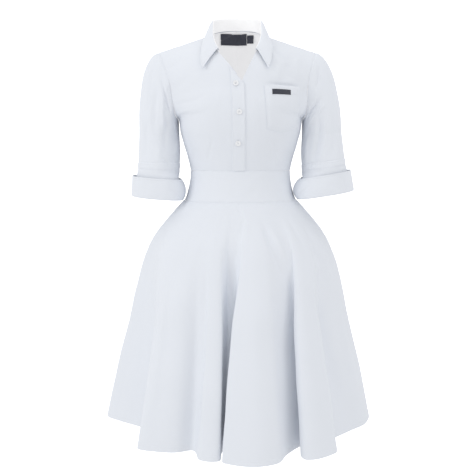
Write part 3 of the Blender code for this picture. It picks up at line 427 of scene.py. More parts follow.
# Columns: start degrees, start drop, end degrees, end drop, bow, half width in degrees, height in mm
SKIRT_CREASES = (
    (-3.4, 0.003, 2.8, 0.030, 0.2, 1.5, -1.6),
    (2.8, 0.028, -0.6, 0.080, 0.3, 1.6, -1.8),
    (4.5, 0.030, 3.0, 0.110, 0.3, 2.0, 1.2),
    (15.5, 0.030, 28.0, 0.186, -0.8, 2.6, -4.2),
    (21.5, 0.040, 34.0, 0.200, -0.8, 3.2, 3.0),
    (12.0, 0.230, 16.0, 0.536, 0.0, 4.0, -3.0),
    (-19.0, 0.100, -21.5, 0.536, 0.0, 2.6, -5.0),
    (-37.0, 0.090, -37.0, 0.530, 0.0, 5.0, 3.2),
    (-45.0, 0.130, -45.0, 0.536, 0.0, 1.6, 2.4),
    (-50.8, 0.130, -50.0, 0.536, 0.0, 1.7, -4.0),
    (43.0, 0.140, 64.0, 0.560, 2.5, 5.0, -6.0),
    (36.0, 0.220, 43.0, 0.530, 0.0, 4.0, 2.6),
    (53.0, 0.050, 58.0, 0.210, 0.0, 4.0, -2.6),
    (76.0, 0.180, 80.0, 0.520, 0.0, 4.0, -3.2),
    (-16.0, 0.010, -13.0, 0.120, 0.8, 2.6, -1.1),
    (-30.0, 0.020, -38.0, 0.180, -1.0, 3.2, -1.5),
    (-26.0, 0.060, -30.0, 0.240, -1.0, 3.4, 1.2),
    (38.0, 0.020, 46.0, 0.200, 1.0, 3.2, -1.8),
    (62.0, 0.050, 66.0, 0.260, 1.0, 3.6, 1.5),
    (-58.0, 0.060, -62.0, 0.280, 1.0, 3.6, 1.5),
    (-78.0, 0.120, -80.0, 0.360, 1.0, 3.0, -1.8),
    (88.0, 0.140, 90.0, 0.400, 1.0, 3.0, -1.8),
    (100.0, 0.010, 104.0, 0.160, 1.0, 3.0, -1.3),
    (118.0, 0.050, 122.0, 0.260, 1.0, 3.6, 1.5),
    (133.0, 0.010, 136.0, 0.150, 0.8, 2.8, -1.4),
    (150.0, 0.020, 148.0, 0.180, 0.8, 3.0, -1.2),
    (166.0, 0.006, 168.0, 0.110, 0.6, 2.4, -1.3),
    (178.0, 0.010, 181.0, 0.130, 0.6, 2.8, 1.0),
    (196.0, 0.006, 199.0, 0.140, 0.8, 2.8, -1.3),
    (214.0, 0.040, 212.0, 0.210, 0.8, 3.2, -1.3),
    (232.0, 0.020, 236.0, 0.180, 1.0, 3.0, -1.3),
    (250.0, 0.060, 254.0, 0.260, 1.0, 3.6, 1.4),
)

# Hems, edges and the grooves under stitches, then what each piece's creases take as their scale
POCKET_HEM = 0.0200
POCKET_EDGE_DROP = 0.0016
CUFF_STITCH = 0.0042
SLEEVE_HEM = 0.0120
SLEEVE_STITCH = 0.0100
EDGE_RISE = 0.00035
GROOVE_WIDTH = 0.0009
NARROW_GROOVE = 0.0008
HEM_STITCH_INSET = 0.0016
HEM_STEP = 0.0012
SLEEVE_FOLD_SCALE = 290.0
SKIRT_FOLD_SCALE = 260.0
WAIST_FOLD_SCALE = 500.0

# Columns: start x, start z, end x, end z, bow, half width, height in mm
POCKET_CREASES = (
    (0.060, -0.150, 0.100, -0.170, 0.002, 0.0060, -0.5),
    (0.126, -0.160, 0.104, -0.215, -0.003, 0.0060, -0.6),
    (0.082, -0.160, 0.078, -0.222, 0.002, 0.0070, 0.5),
)
# Columns: start degrees, start share, end degrees, end share, bow, half width in degrees, height in mm
CUFF_CREASES = {
    "right": (
        (150.0, 0.60, 104.0, 0.86, 2.0, 5.0, -1.2),
        (70.0, 0.58, 86.0, 0.98, 2.0, 6.0, 0.8),
        (30.0, 0.58, 22.0, 0.98, 2.0, 6.0, -1.0),
        (-60.0, 0.58, -80.0, 0.98, 2.0, 7.0, 0.9),
        (-130.0, 0.60, -110.0, 0.96, 2.0, 6.0, -1.0),
    ),
    "left": (
        (150.0, 0.60, 112.0, 0.88, 2.0, 5.0, -1.0),
        (96.0, 0.58, 84.0, 0.98, 2.0, 6.0, 0.9),
        (44.0, 0.58, 56.0, 0.98, 2.0, 6.0, -1.1),
        (-50.0, 0.58, -70.0, 0.98, 2.0, 7.0, 0.8),
        (-120.0, 0.60, -140.0, 0.96, 2.0, 6.0, -1.0),
    ),
}
# Columns: start degrees, start drop, end degrees, end drop, bow, half width in degrees, height in mm
WAIST_FRONT_CREASES = (
    (-84.0, 0.020, -40.0, 0.034, 3.0, 3.5, -0.7),
    (84.0, 0.018, 44.0, 0.032, -3.0, 3.5, -0.7),
    (-86.0, 0.046, -52.0, 0.052, 2.0, 3.0, 0.5),
    (30.0, 0.010, 6.0, 0.060, 2.0, 4.5, -0.4),
)
WAIST_BACK_CREASES = (
    (96.0, 0.018, 140.0, 0.030, 3.0, 3.5, -0.7),
    (264.0, 0.020, 222.0, 0.032, -3.0, 3.5, -0.7),
    (176.0, 0.010, 182.0, 0.060, 2.0, 4.5, -0.5),
)

# Rows and columns of the cloth grids, before the extra lines at the seams
FRONT_ROWS = 150
FRONT_COLUMNS = 70
BACK_ROWS = 150
BACK_COLUMNS = 60
COLLAR_COLUMNS = 201
STRIP_ROWS = 150
STRIP_COLUMNS = 26
POCKET_ROWS = 72
POCKET_COLUMNS = 60
SLEEVE_HEAD_ROWS = 66
SLEEVE_LOWER_ROWS = 48
SLEEVE_COLUMNS = 138
CUFF_COLUMNS = 144
WAIST_ROWS = 44
WAIST_COLUMNS = 116
SKIRT_COLUMNS = 246

# Camera at the photograph's angle, for a square picture
CAMERA_PLACE = (-0.008, -1.600, -0.245)
CAMERA_PITCH = 8.4
CAMERA_SENSOR = 0.036
FOCAL_LENGTH = 0.05119

# Stage
FLOOR_HEIGHT = -1.45
FLOOR_HALF_WIDTH = 8.0
FLOOR_FRONT = -7.0
FLOOR_BACK = 4.0
FLOOR_RISE = 6.0
FLOOR_BEND = 2.0

# Columns: lamp, size of its side, place, height that it aims at
LAMPS = (
    ("key", 2.0, (-3.3, -1.8, 0.9), -0.45),
    ("front", 1.0, (0.0, -3.0, 0.35), -0.35),
    ("fill", 2.0, (3.3, -1.8, 0.5), -0.45),
    ("top", 2.2, (0.4, 0.4, 2.6), -0.4),
)


def ease(t):
    """Smooth step from 0 to 1 with level ends: t squared times (3 - 2t)."""
    t = np.clip(t, 0.0, 1.0)
    return t * t * (3.0 - 2.0 * t)


def unit(vectors):
    """Vectors scaled to length one."""
    return vectors / np.maximum(np.linalg.norm(vectors, axis=-1, keepdims=True), 1e-12)


def groove(distance, depth, width):
    """Height of a groove along a seam or a row of stitches: -depth times exp(-(distance / width)^2)."""
    return -depth * np.exp(-(distance / width) ** 2)


def grid_quads(number):
    """Quads between neighbouring rows and columns of a grid of point numbers."""
    return np.stack([number[:-1, :-1], number[:-1, 1:], number[1:, 1:], number[1:, :-1]], -1)


def section(table, t):
    """Rows of a table at row numbers t, by a cubic that never overshoots the rows it passes."""
    rows = np.asarray(table, dtype=float)
    t = np.clip(np.asarray(t, dtype=float), 0.0, len(rows) - 1.0)
    step = np.diff(rows, axis=0)
    before, after = step[:-1], step[1:]
    same = before * after > 0.0
    total = np.where(same, before + after, 1.0)
    slope = np.zeros_like(rows)
    slope[1:-1] = np.where(same, 2.0 * before * after / total, 0.0)
    slope[0] = step[0]
    slope[-1] = step[-1]
    k = np.minimum(t.astype(int), len(rows) - 2)
    f = (t - k)[..., None]
    return (
        rows[k] * (1.0 + 2.0 * f) * (1.0 - f) ** 2
        + slope[k] * f * (1.0 - f) ** 2
        + rows[k + 1] * f * f * (3.0 - 2.0 * f)
        - slope[k + 1] * f * f * (1.0 - f)
    )


def bezier(start, first, second, end, t):
    """Points along cubic Bezier curves: each control point weighed by its power of t and 1 - t."""
    return (
        start * (1.0 - t) ** 3
        + first * 3.0 * t * (1.0 - t) ** 2
        + second * 3.0 * t * t * (1.0 - t)
        + end * t ** 3
    )


def spaced(count, near_start=0, near_end=0, share=0.03):
    """Even steps from 0 to 1, with extra ones that halve towards the ends, where a seam bends the cloth."""
    steps = np.linspace(0.0, 1.0, count)
    first = share * 0.5 ** np.arange(near_start)
    last = 1.0 - share * 0.5 ** np.arange(near_end)
    return np.unique(np.round(np.concatenate([steps, first, last]), 9))


def shift_neck(points):
    """Points above the chest move with the neck, by a smooth step in height."""
    moved = points.copy()
    share = ease((points[..., 2] - NECK_SHIFT_FROM) / NECK_SHIFT_OVER)
    moved[..., 0] += NECK_SHIFT * share
    return moved


def bodice(across, row, side=1.0):
    """Outer face of the bodice: across 0 to 1 from inner to outer edge, row along BODICE_TABLE.

    Each row is a Bezier curve that leaves the inner edge sideways and meets the outer edge at its turn.
    A bell-shaped fullness over each bust side falls off to nothing at the seams.
    """
    across, row = np.broadcast_arrays(np.asarray(across, dtype=float), np.asarray(row, dtype=float))
    values = section(BODICE_TABLE, row)
    inner, outer = values[..., 0:3], values[..., 3:6]
    turn = np.radians(values[..., 6])
    reach = outer - inner
    bow = 0.55
    level = np.interp(values[..., 6], [0.0, 90.0], [bow, 1.0 / 3.0])
    first = inner + np.stack([bow * reach[..., 0], 0.0 * reach[..., 1], level * reach[..., 2]], -1)
    second = outer - np.stack([
        bow * reach[..., 0] * np.cos(turn),
        bow * reach[..., 1] * np.sin(turn),
        level * reach[..., 2],
    ], -1)
    points = bezier(inner, first, second, outer, across[..., None])
    bump = np.exp(
        -((points[..., 0] - BUST_X) / BUST_WIDTH) ** 2
        - ((points[..., 2] - BUST_Z) / BUST_HEIGHT) ** 2
    )
    front = np.clip((SHOULDER_ROW - row) / 2.0, 0.0, 1.0)
    points[..., 1] -= BUST_FULLNESS * bump * front * (1.0 - across ** 3)
    points[..., 0] *= side
    return points


def bodice_normals(across, row, side=1.0):
    """Outward unit normals of the bodice, from the cross product of its two slopes."""
    small = 1e-3
    by_across = bodice(across + small, row) - bodice(across - small, row)
    by_row = bodice(across, row + small) - bodice(across, row - small)
    normals = unit(np.cross(by_across, by_row))
    normals[..., 0] *= side
    return normals


def find_on_bodice(x, z, side, across, row):
    """Across and row numbers where the bodice has the given x and height, by Newton steps from a guess."""
    target = np.stack(np.broadcast_arrays(np.asarray(x, float), np.asarray(z, float)), -1)
    small = 1e-4
    for _ in range(30):
        here = bodice(across, row, side)[..., [0, 2]]
        by_across = (bodice(across + small, row, side)[..., [0, 2]] - here) / small
        by_row = (bodice(across, row + small, side)[..., [0, 2]] - here) / small
        miss = target - here
        area = by_across[..., 0] * by_row[..., 1] - by_across[..., 1] * by_row[..., 0]
        d_across = (miss[..., 0] * by_row[..., 1] - miss[..., 1] * by_row[..., 0]) / area
        d_row = (by_across[..., 0] * miss[..., 1] - by_across[..., 1] * miss[..., 0]) / area
        across = across + np.clip(d_across, -0.06, 0.06)
        row = row + np.clip(d_row, -0.3, 0.3)
    return across, row


def over_front(x, z, lift):
    """Points and outward normals of a piece on the front: the front's own points moved out by lift."""
    x, z = np.broadcast_arrays(np.asarray(x, dtype=float), np.asarray(z, dtype=float))
    side = np.where(x < 0.0, -1.0, 1.0)
    guess = np.interp(z, GUESS_HEIGHTS, GUESS_ROWS)
    across, row = find_on_bodice(x, z, side, np.abs(x) / 0.15, guess)
    outward = bodice_normals(across, row, side)
    points = bodice(across, row, side)
    creased = points + outward * front_relief(points, side)[..., None]
    lifted = creased + outward * np.asarray(lift, dtype=float)[..., None]
    return shift_neck(lifted), outward


def grid_normals(points, closed=False):
    """Unit normals of a grid of points: the cross product of its steps across and down."""
    if closed:
        points = np.concatenate([points[:, -2:-1], points, points[:, 1:2]], axis=1)
    normals = unit(np.cross(np.gradient(points, axis=1), np.gradient(points, axis=0)))
    return normals[:, 1:-1] if closed else normals


def lengths(points):
    """Lengths along the cloth in metres, across from the middle column and down from the first row."""
    across = np.linalg.norm(np.diff(points, axis=1), axis=-1)
    down = np.linalg.norm(np.diff(points, axis=0), axis=-1)
    u = np.concatenate([np.zeros((len(points), 1)), np.cumsum(across, axis=1)], axis=1)
    v = np.concatenate([np.zeros((1, points.shape[1])), np.cumsum(down, axis=0)], axis=0)
    return u, v


def creases(a, b, table, scale):
    """Height of the creases over a piece, in metres.

    Each stroke is height times exp(-(distance / half width)^2), where the distance is measured from its
    bowed line and the half width grows along it, and it fades with a smooth step at both ends.
    The second coordinate is multiplied by scale, so that both have the same unit.
    """
    total = np.zeros(np.broadcast(a, b).shape)
    for a0, b0, a1, b1, bow, width, height in table:
        run_a, run_b = a1 - a0, (b1 - b0) * scale
        length = math.hypot(run_a, run_b)
        from_a, from_b = a - a0, (b - b0) * scale
        along = (from_a * run_a + from_b * run_b) / length ** 2
        aside = (from_a * run_b - from_b * run_a) / length
        aside = aside - bow * 4.0 * along * (1.0 - along)
        spread = width * (0.8 + 0.5 * np.clip(along, 0.0, 1.0))
        fade = ease(along / 0.30) * ease((1.0 - along) / 0.35)
        total = total + height * 0.001 * np.exp(-(aside / spread) ** 2) * fade
    return total


def unevenness(a, b, size, height):
    """Slow waves of worn cloth: a sum of sines of the two lengths, whose periods don't repeat together."""
    return height * (
        np.sin(a / size * 6.1 + 1.3 * np.sin(b / size * 4.3))
        + 0.7 * np.sin(b / size * 7.7 + 1.1 * np.sin(a / size * 5.2) + 2.0)
        + 0.5 * np.sin((a + 0.6 * b) / size * 12.7 + 0.8)
    ) / 2.2


def front_relief(points, side):
    """Creases of the two fronts over the front's own points, in metres."""
    x, z = points[..., 0], points[..., 2]
    right = creases(x, z, FRONT_RIGHT_CREASES, 1.0)
    left = creases(x, z, FRONT_LEFT_CREASES, 1.0)
    return np.where(side < 0.0, right, left) + unevenness(x, z, 0.10, 0.0004)


def seam_relief(points, edges, depth=None):
    """Depth that a sewn edge pulls the cloth in by, with puckers that die away from the seam.

    The dip is the depth times exp(-(distance / SEAM_DIP_WIDTH)^2), and the puckers are two sines along
    the seam times exp(-distance / PUCKER_REACH). The edges are named by the side of the grid.
    """
    depth = SEAM_DIP if depth is None else depth
    u, v = lengths(points)
    away = {"start": u, "end": u[:, -1:] - u, "top": v, "bottom": v[-1:] - v}
    along = {"start": v, "end": v, "top": u, "bottom": u}
    total = np.zeros(u.shape)
    for edge in edges:
        distance, run = away[edge], along[edge]
        dip = groove(distance, depth, SEAM_DIP_WIDTH)
        wave = np.sin(run / 0.0042 + 1.7 * np.sin(run / 0.023)) + 0.6 * np.sin(run / 0.0071 + 2.0)
        pucker = PUCKER * wave * np.exp(-distance / PUCKER_REACH) * (1.0 - np.exp(-distance / 0.002))
        total = total + dip + pucker
    return total


class Cloth:
    """A grid of points on a piece's outer face, with its normals, ready for its wall and its sewing."""

    def __init__(self, points, outward, closed=False):
        self.points = points
        self.outward = outward
        self.closed = closed

    def raised(self, relief):
        """The same cloth with its points moved along the normals by a relief, and new normals."""
        moved = self.points + self.outward * relief[..., None]
        fresh = grid_normals(moved, self.closed)
        facing = np.sum(fresh * self.outward, axis=-1, keepdims=True)
        return Cloth(moved, np.where(facing < 0.0, -fresh, fresh), self.closed)

    def at(self, column, row, lift=0.0):
        """Points and normals at fractional column and row numbers, by the mean of the four around."""
        rows, columns = self.points.shape[:2]
        column = np.clip(np.asarray(column, float), 0.0, columns - 1.001)
        row = np.clip(np.asarray(row, float), 0.0, rows - 1.001)
        i, j = row.astype(int), column.astype(int)
        f, g = (row - i)[..., None], (column - j)[..., None]

        def mean(values):
            low = values[i, j] * (1.0 - g) + values[i, j + 1] * g
            high = values[i + 1, j] * (1.0 - g) + values[i + 1, j + 1] * g
            return low * (1.0 - f) + high * f

        outward = unit(mean(self.outward))
        return mean(self.points) + outward * lift, outward

    def line(self, edge, distance, start=0.0, end=1.0, count=400, lift=0.0):
        """Points and normals along a line that keeps a distance from one edge of the grid."""
        rows, columns = self.points.shape[:2]
        u, v = lengths(self.points)
        share = np.linspace(start, end, count)
        if edge in ("top", "bottom"):
            away = v if edge == "top" else v[-1:] - v
            crossing = np.argmax(away > distance, axis=0) if edge == "top" else (
                rows - 1 - np.argmax(away[::-1] > distance, axis=0))
            inner = np.take_along_axis(away, crossing[None], 0)[0]
            outer_row = crossing - 1 if edge == "top" else crossing + 1
            outer = np.take_along_axis(away, np.clip(outer_row, 0, rows - 1)[None], 0)[0]
            part = (distance - outer) / np.maximum(inner - outer, 1e-9)
            number = outer_row + (crossing - outer_row) * part
            column = share * (columns - 1.0)
            return self.at(column, np.interp(column, np.arange(columns), number), lift)
        away = u if edge == "start" else u[:, -1:] - u
        crossing = np.argmax(away > distance, axis=1) if edge == "start" else (
            columns - 1 - np.argmax(away[:, ::-1] > distance, axis=1))
        inner = np.take_along_axis(away, crossing[:, None], 1)[:, 0]
        outer_column = crossing - 1 if edge == "start" else crossing + 1
        outer = np.take_along_axis(away, np.clip(outer_column, 0, columns - 1)[:, None], 1)[:, 0]
        part = (distance - outer) / np.maximum(inner - outer, 1e-9)
        number = outer_column + (crossing - outer_column) * part
        row = share * (rows - 1.0)
        return self.at(np.interp(row, np.arange(rows), number), row, lift)


def hem_outline(count):
    """Places round the folded hem, the azimuths they hang from and the powers they open by.

    The outline's points are joined by the cubic of section, cut into equal lengths and rounded off by a
    bell-shaped mean along the hem. Count columns of cloth are laid out from each side seam to the other,
    closer together where the hem turns. Places are in shares of the plain bell's half width and depth.
    """
    azimuth, reach, hung, power = HEM_OUTLINE[0]
    table = np.array(HEM_OUTLINE + ((azimuth + 360.0, reach, hung + 360.0, power),))
    width, depth = SKIRT_TABLE[-1][1], SKIRT_TABLE[-1][2]
    fine = section(table, np.linspace(0.0, len(table) - 1.0, 2 * HEM_STEPS))
    angle = np.radians(fine[:, 0])
    x = np.sin(angle) * fine[:, 1] * width
    y = np.cos(angle) * fine[:, 1] * depth
    length = np.concatenate([[0.0], np.cumsum(np.hypot(np.diff(x), np.diff(y)))])
    even = np.linspace(0.0, length[-1], HEM_STEPS + 1)
    trend = 360.0 * even / length[-1]
    columns = (x, y, fine[:, 2], fine[:, 3])
    line = np.stack([np.interp(even, length, column) for column in columns], -1)
    line[:, 2] -= trend
    waves = np.fft.fftfreq(HEM_STEPS, length[-1] / HEM_STEPS)
    bell = np.exp(-0.5 * (2.0 * math.pi * waves * FOLD_ROUNDING) ** 2)
    once_round = np.fft.ifft(np.fft.fft(line[:-1], axis=0) * bell[:, None], axis=0).real
    line = np.concatenate([once_round, once_round, once_round[:1]])
    line[:, 2] += np.concatenate([trend[:-1], trend + 360.0])
    step = np.diff(line[:, :2], axis=0)
    heading = np.unwrap(np.arctan2(step[:, 1], step[:, 0]))
    turn = np.abs(np.gradient(heading))
    cost = np.hypot(step[:, 0], step[:, 1]) + TURN_LENGTH * turn
    cost = np.concatenate([[0.0], np.cumsum(cost)])
    right, left, round_again = np.interp((-90.0, 90.0, 270.0), line[:, 2], cost)
    wanted = np.concatenate([
        np.linspace(right, left, count + 1)[:-1],
        np.linspace(left, round_again, count + 1),
    ])
    places = [np.interp(wanted, cost, line[:, k]) for k in range(4)]
    return places[0] / width, places[1] / depth, np.radians(places[2]), places[3]


def skirt_points(count, rows):
    """Skirt points: a bell of plain sections, drawn towards the folded outline, more so near the hem."""
    aside, ahead, hung, power = hem_outline(count)
    values = section(SKIRT_TABLE, np.broadcast_to(rows[:, None], (len(rows), 2 * count + 1)))
    opened = values[..., 4] ** power
    sideways = np.sin(hung) + (aside - np.sin(hung)) * opened
    forward = np.cos(hung) + (ahead - np.cos(hung)) * opened
    hem_drop = SKIRT_TABLE[-1][0]
    x = values[..., 1] * sideways + HEM_SHIFT * values[..., 0] / hem_drop
    y = -np.where(forward > 0.0, values[..., 2], values[..., 3]) * forward
    side_drop = WAIST_SIDE_DROP * np.sin(hung) ** 2 * (1.0 - values[..., 0] / hem_drop)
    z = WAIST_TABLE[-1][0] - SEAM_GAP - values[..., 0] - side_drop
    return np.stack([x, y, z], -1), values[..., 0], np.degrees(hung)


def ring(values, turn, boxiness=2.0, twist=0.0):
    """Closed ring through its near and far points: a superellipse, with 180 degrees next to the body."""
    near_x, near_z, far_x, far_z, middle_y, half_depth = np.moveaxis(values, -1, 0)
    power = 2.0 / boxiness
    out = np.sign(np.cos(turn)) * np.abs(np.cos(turn)) ** power
    forward = np.sign(np.sin(turn)) * np.abs(np.sin(turn)) ** power
    x = (near_x + far_x) / 2.0 + (far_x - near_x) / 2.0 * out - np.sin(twist) * forward * half_depth
    y = middle_y - half_depth * forward
    z = (near_z + far_z) / 2.0 + (far_z - near_z) / 2.0 * out
    return np.stack([x, y, z], -1)


def sleeve_points(which, columns, head_rows, lower_rows):
    """Sleeve tube: Hermite curves leave the armhole outwards and turn down to a ring, then rings go on.

    The armhole is sampled as the bodice draws it: evenly in its rows, in four stretches round.
    """
    side = -1.0 if which == "right" else 1.0
    share = np.linspace(0.0, 1.0, columns + 1)
    turn = np.radians(180.0 - 360.0 * share)
    row = np.interp(share, [0.0, 0.5, 17.0 / 24.0, 1.0],
                    [UNDERARM_FRONT_ROW, SHOULDER_ROW, BACK_NECK_ROW, UNDERARM_BACK_ROW])
    mirror = np.array([side, 1.0, 1.0])
    top = shift_neck(bodice(1.0, row) * mirror) * mirror
    top[:, 0] += ARMHOLE_GAP
    below = ring(section(SLEEVE_TABLES[which], np.zeros(len(turn))), turn)
    lean = np.radians(HEAD_TURN + (UNDERARM_TURN - HEAD_TURN) * (1.0 - np.cos(turn)) / 2.0)
    distance = np.linalg.norm(below - top, axis=-1, keepdims=True)
    leaving = np.stack([np.cos(lean), np.zeros_like(lean), -np.sin(lean)], -1) * HEAD_FULLNESS * distance
    arriving = np.array([0.0, 0.0, -1.0]) * 0.6 * distance
    t = head_rows[:, None, None]
    head = (
        top * (1.0 + 2.0 * t) * (1.0 - t) ** 2
        + leaving * t * (1.0 - t) ** 2
        + below * t * t * (3.0 - 2.0 * t)
        - arriving * t * t * (1.0 - t)
    )
    number = np.broadcast_to(2.0 * lower_rows[1:, None], (len(lower_rows) - 1, len(turn)))
    lower = ring(section(SLEEVE_TABLES[which], number), turn)
    return np.concatenate([head, lower]) * mirror, np.degrees(turn)


class Wall:
    """A mesh made of grids of cloth, each with its outer face, its inner face and its rims."""

    def __init__(self, name, thickness):
        self.name = name
        self.thickness = thickness
        self.vertices, self.faces, self.uvs, self.slots = [], [], [], []
        self.count = 0

    def add(self, cloth, u_from=0.0):
        """Adds a cloth: outer face, the same face moved in by the thickness, and quads along its edges."""
        rows, columns = cloth.points.shape[:2]
        number = np.arange(rows * columns).reshape(rows, columns)
        if cloth.closed:
            number[:, -1] = number[:, 0]
        u, v = lengths(cloth.points)
        u = u - u[:, columns // 2][:, None] + u_from
        size = rows * columns
        inner = cloth.points - cloth.outward * self.thickness
        quads = grid_quads(number)
        grid_uv = np.stack([u, v], -1)
        uv = np.stack([grid_uv[:-1, :-1], grid_uv[:-1, 1:], grid_uv[1:, 1:], grid_uv[1:, :-1]], -2)
        middle = cloth.points[rows // 2, columns // 2]
        step_a = cloth.points[rows // 2, columns // 2 + 1] - middle
        step_b = cloth.points[rows // 2 + 1, columns // 2] - middle
        flipped = np.dot(np.cross(step_a, step_b), cloth.outward[rows // 2, columns // 2]) < 0.0
        quads, uv = quads.reshape(-1, 4), uv.reshape(-1, 4, 2)
        if flipped:
            quads, uv = quads[:, ::-1], uv[:, ::-1]
        rims = [(number[0], grid_uv[0], True), (number[-1], grid_uv[-1], False)]
        if not cloth.closed:
            rims += [(number[:, 0], grid_uv[:, 0], False), (number[:, -1], grid_uv[:, -1], True)]
        parts, part_uv, slots = [quads, quads[:, ::-1] + size], [uv, uv[:, ::-1]], [0, 1]
        for line, line_uv, forward in rims:
            strip = np.stack([line[1:], line[:-1], line[:-1] + size, line[1:] + size], -1)
            strip_uv = np.stack([line_uv[1:], line_uv[:-1], line_uv[:-1], line_uv[1:]], -2)
            if forward == flipped:
                strip, strip_uv = strip[:, ::-1], strip_uv[:, ::-1]
            parts.append(strip)
            part_uv.append(strip_uv)
            slots.append(0)
        self.vertices.append(np.concatenate([cloth.points.reshape(-1, 3), inner.reshape(-1, 3)]))
        self.faces.append(np.concatenate(parts) + self.count)
        self.uvs.append(np.concatenate(part_uv))
        self.slots.append(np.concatenate([np.full(len(p), s) for p, s in zip(parts, slots)]))
        self.count += 2 * size
        return self

    def build(self, *materials, merge=False):
        """Makes the object; merge joins the grids where they share points and drops the rims between."""
        points = np.concatenate(self.vertices)
        faces = np.concatenate(self.faces)
        uvs = np.concatenate(self.uvs)
        slots = np.concatenate(self.slots)
        if merge:
            _, kept, joined = np.unique(
                np.round(points * 1e6), axis=0, return_index=True, return_inverse=True)
            points, faces = points[kept], joined.reshape(-1)[faces]
            key = np.sort(faces, axis=1)
            _, place, copies = np.unique(key, axis=0, return_inverse=True, return_counts=True)[0:3]
            twice = copies[place.reshape(-1)] > 1
            faces, uvs, slots = faces[~twice], uvs[~twice], slots[~twice]
        used, faces = np.unique(faces, return_inverse=True)
        faces = faces.reshape(-1, 4)
        return mesh_object(self.name, points[used], faces, materials, uvs, slots)


def mesh_object(name, points, faces, materials, uvs=None, slots=None, sharp=50.0):
    """Puts points and faces of four corners into a smooth mesh object, with its UV map in metres."""
    mesh = bpy.data.meshes.new(name)
    mesh.vertices.add(len(points))
    mesh.vertices.foreach_set("co", np.asarray(points, np.float32).ravel())
    mesh.loops.add(faces.size)
    mesh.loops.foreach_set("vertex_index", faces.ravel().astype(np.int32))
    mesh.polygons.add(len(faces))
    mesh.polygons.foreach_set("loop_start", np.arange(len(faces), dtype=np.int32) * faces.shape[1])
    mesh.update(calc_edges=True)
    for made in materials:
        mesh.materials.append(made)
    if slots is not None and len(materials) > 1:
        mesh.polygons.foreach_set("material_index", slots.astype(np.int32))
    if uvs is not None:
        layer = mesh.uv_layers.new(name="cloth")
        layer.data.foreach_set("uv", np.asarray(uvs, np.float32).ravel())
    mesh.shade_smooth()
    mesh.set_sharp_from_angle(angle=math.radians(sharp))
    made = bpy.data.objects.new(name, mesh)
    bpy.context.scene.collection.objects.link(made)
    return made


def finish_piece(piece, slot, *nodes):
    """Sets what the piece rides on and hides the nodes that it stands for. The slot is not used."""
    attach(piece, "root")
    if nodes:
        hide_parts(*nodes)
    return piece


def stitches(name, runs, settings):
    """Stitches along runs of points and normals, sunk at both ends.

    Each stitch is a hexagonal tube along its run, whose radius is the thread's times a share, and whose
    middle stands above the cloth. Stitches are laid at even lengths of the run.
    """
    along_share = np.array([-0.5, -0.30, 0.30, 0.5])
    radius_share = np.array([0.35, 0.95, 0.95, 0.35])
    height_share = np.array([-0.9, 0.35, 0.35, -0.9])
    sides = 6
    angle = 2.0 * math.pi * np.arange(sides) / sides
    centres, tangents, normals, sizes = [], [], [], []
    pitch = settings.stitch_length + settings.stitch_gap
    for points, outward in runs:
        step = np.linalg.norm(np.diff(points, axis=0), axis=-1)
        length = np.concatenate([[0.0], np.cumsum(step)])
        count = max(1, int(length[-1] / pitch))
        middle = (np.arange(count) + 0.5) * length[-1] / count
        half = min(settings.stitch_length, length[-1]) / 2.0
        here = np.stack([np.interp(middle, length, points[:, k]) for k in range(3)], -1)
        before = np.stack([np.interp(middle - half, length, points[:, k]) for k in range(3)], -1)
        after = np.stack([np.interp(middle + half, length, points[:, k]) for k in range(3)], -1)
        facing = np.stack([np.interp(middle, length, outward[:, k]) for k in range(3)], -1)
        centres.append(here)
        tangents.append(unit(after - before))
        normals.append(unit(facing))
        sizes.append(np.full(count, 2.0 * half))
    centre, tangent = np.concatenate(centres), np.concatenate(tangents)
    normal, size = np.concatenate(normals), np.concatenate(sizes)
    sideways = unit(np.cross(tangent, normal))
    radius = settings.thread_radius
    ring_centre = (
        centre[:, None] + tangent[:, None] * (along_share[None, :, None] * size[:, None, None])
        + normal[:, None] * (height_share * radius)[None, :, None]
    )
    around = (
        sideways[:, None, None] * np.cos(angle)[None, None, :, None]
        + normal[:, None, None] * np.sin(angle)[None, None, :, None]
    )
    points = ring_centre[:, :, None] + around * (radius_share * radius)[None, :, None, None]
    number = np.arange(4 * sides).reshape(4, sides)
    after = np.roll(number, -1, axis=1)
    one = np.stack([number[:-1], after[:-1], after[1:], number[1:]], -1).reshape(-1, 4)
    near_end = np.array([[3, 2, 1, 0], [5, 4, 3, 0]])
    far_end = near_end[:, ::-1] + 3 * sides
    one = np.concatenate([one[:, ::-1], near_end[:, ::-1], far_end[:, ::-1]])
    faces = (one[None] + (np.arange(len(centre)) * 4 * sides)[:, None, None]).reshape(-1, 4)
    piece = mesh_object(name, points.reshape(-1, 3), faces, [thread_material(settings)], sharp=80.0)
    return finish_piece(piece, "white_cloth")


class Signal:
    """A shader socket that takes part in plain arithmetic: each operation adds a Math node."""

    def __init__(self, shader, socket):
        self.shader = shader
        self.socket = socket

    def math(self, operation, *others):
        """This value and up to two others through one Math node."""
        values = {number: value for number, value in enumerate((self,) + others)}
        return self.shader.node("ShaderNodeMath", {"operation": operation}, values)

    def __add__(self, other):
        return self.math("ADD", other)

    __radd__ = __add__

    def __mul__(self, other):
        return self.math("MULTIPLY", other)

    __rmul__ = __mul__

    def sine(self):
        """Sine of the value in radians."""
        return self.math("SINE")


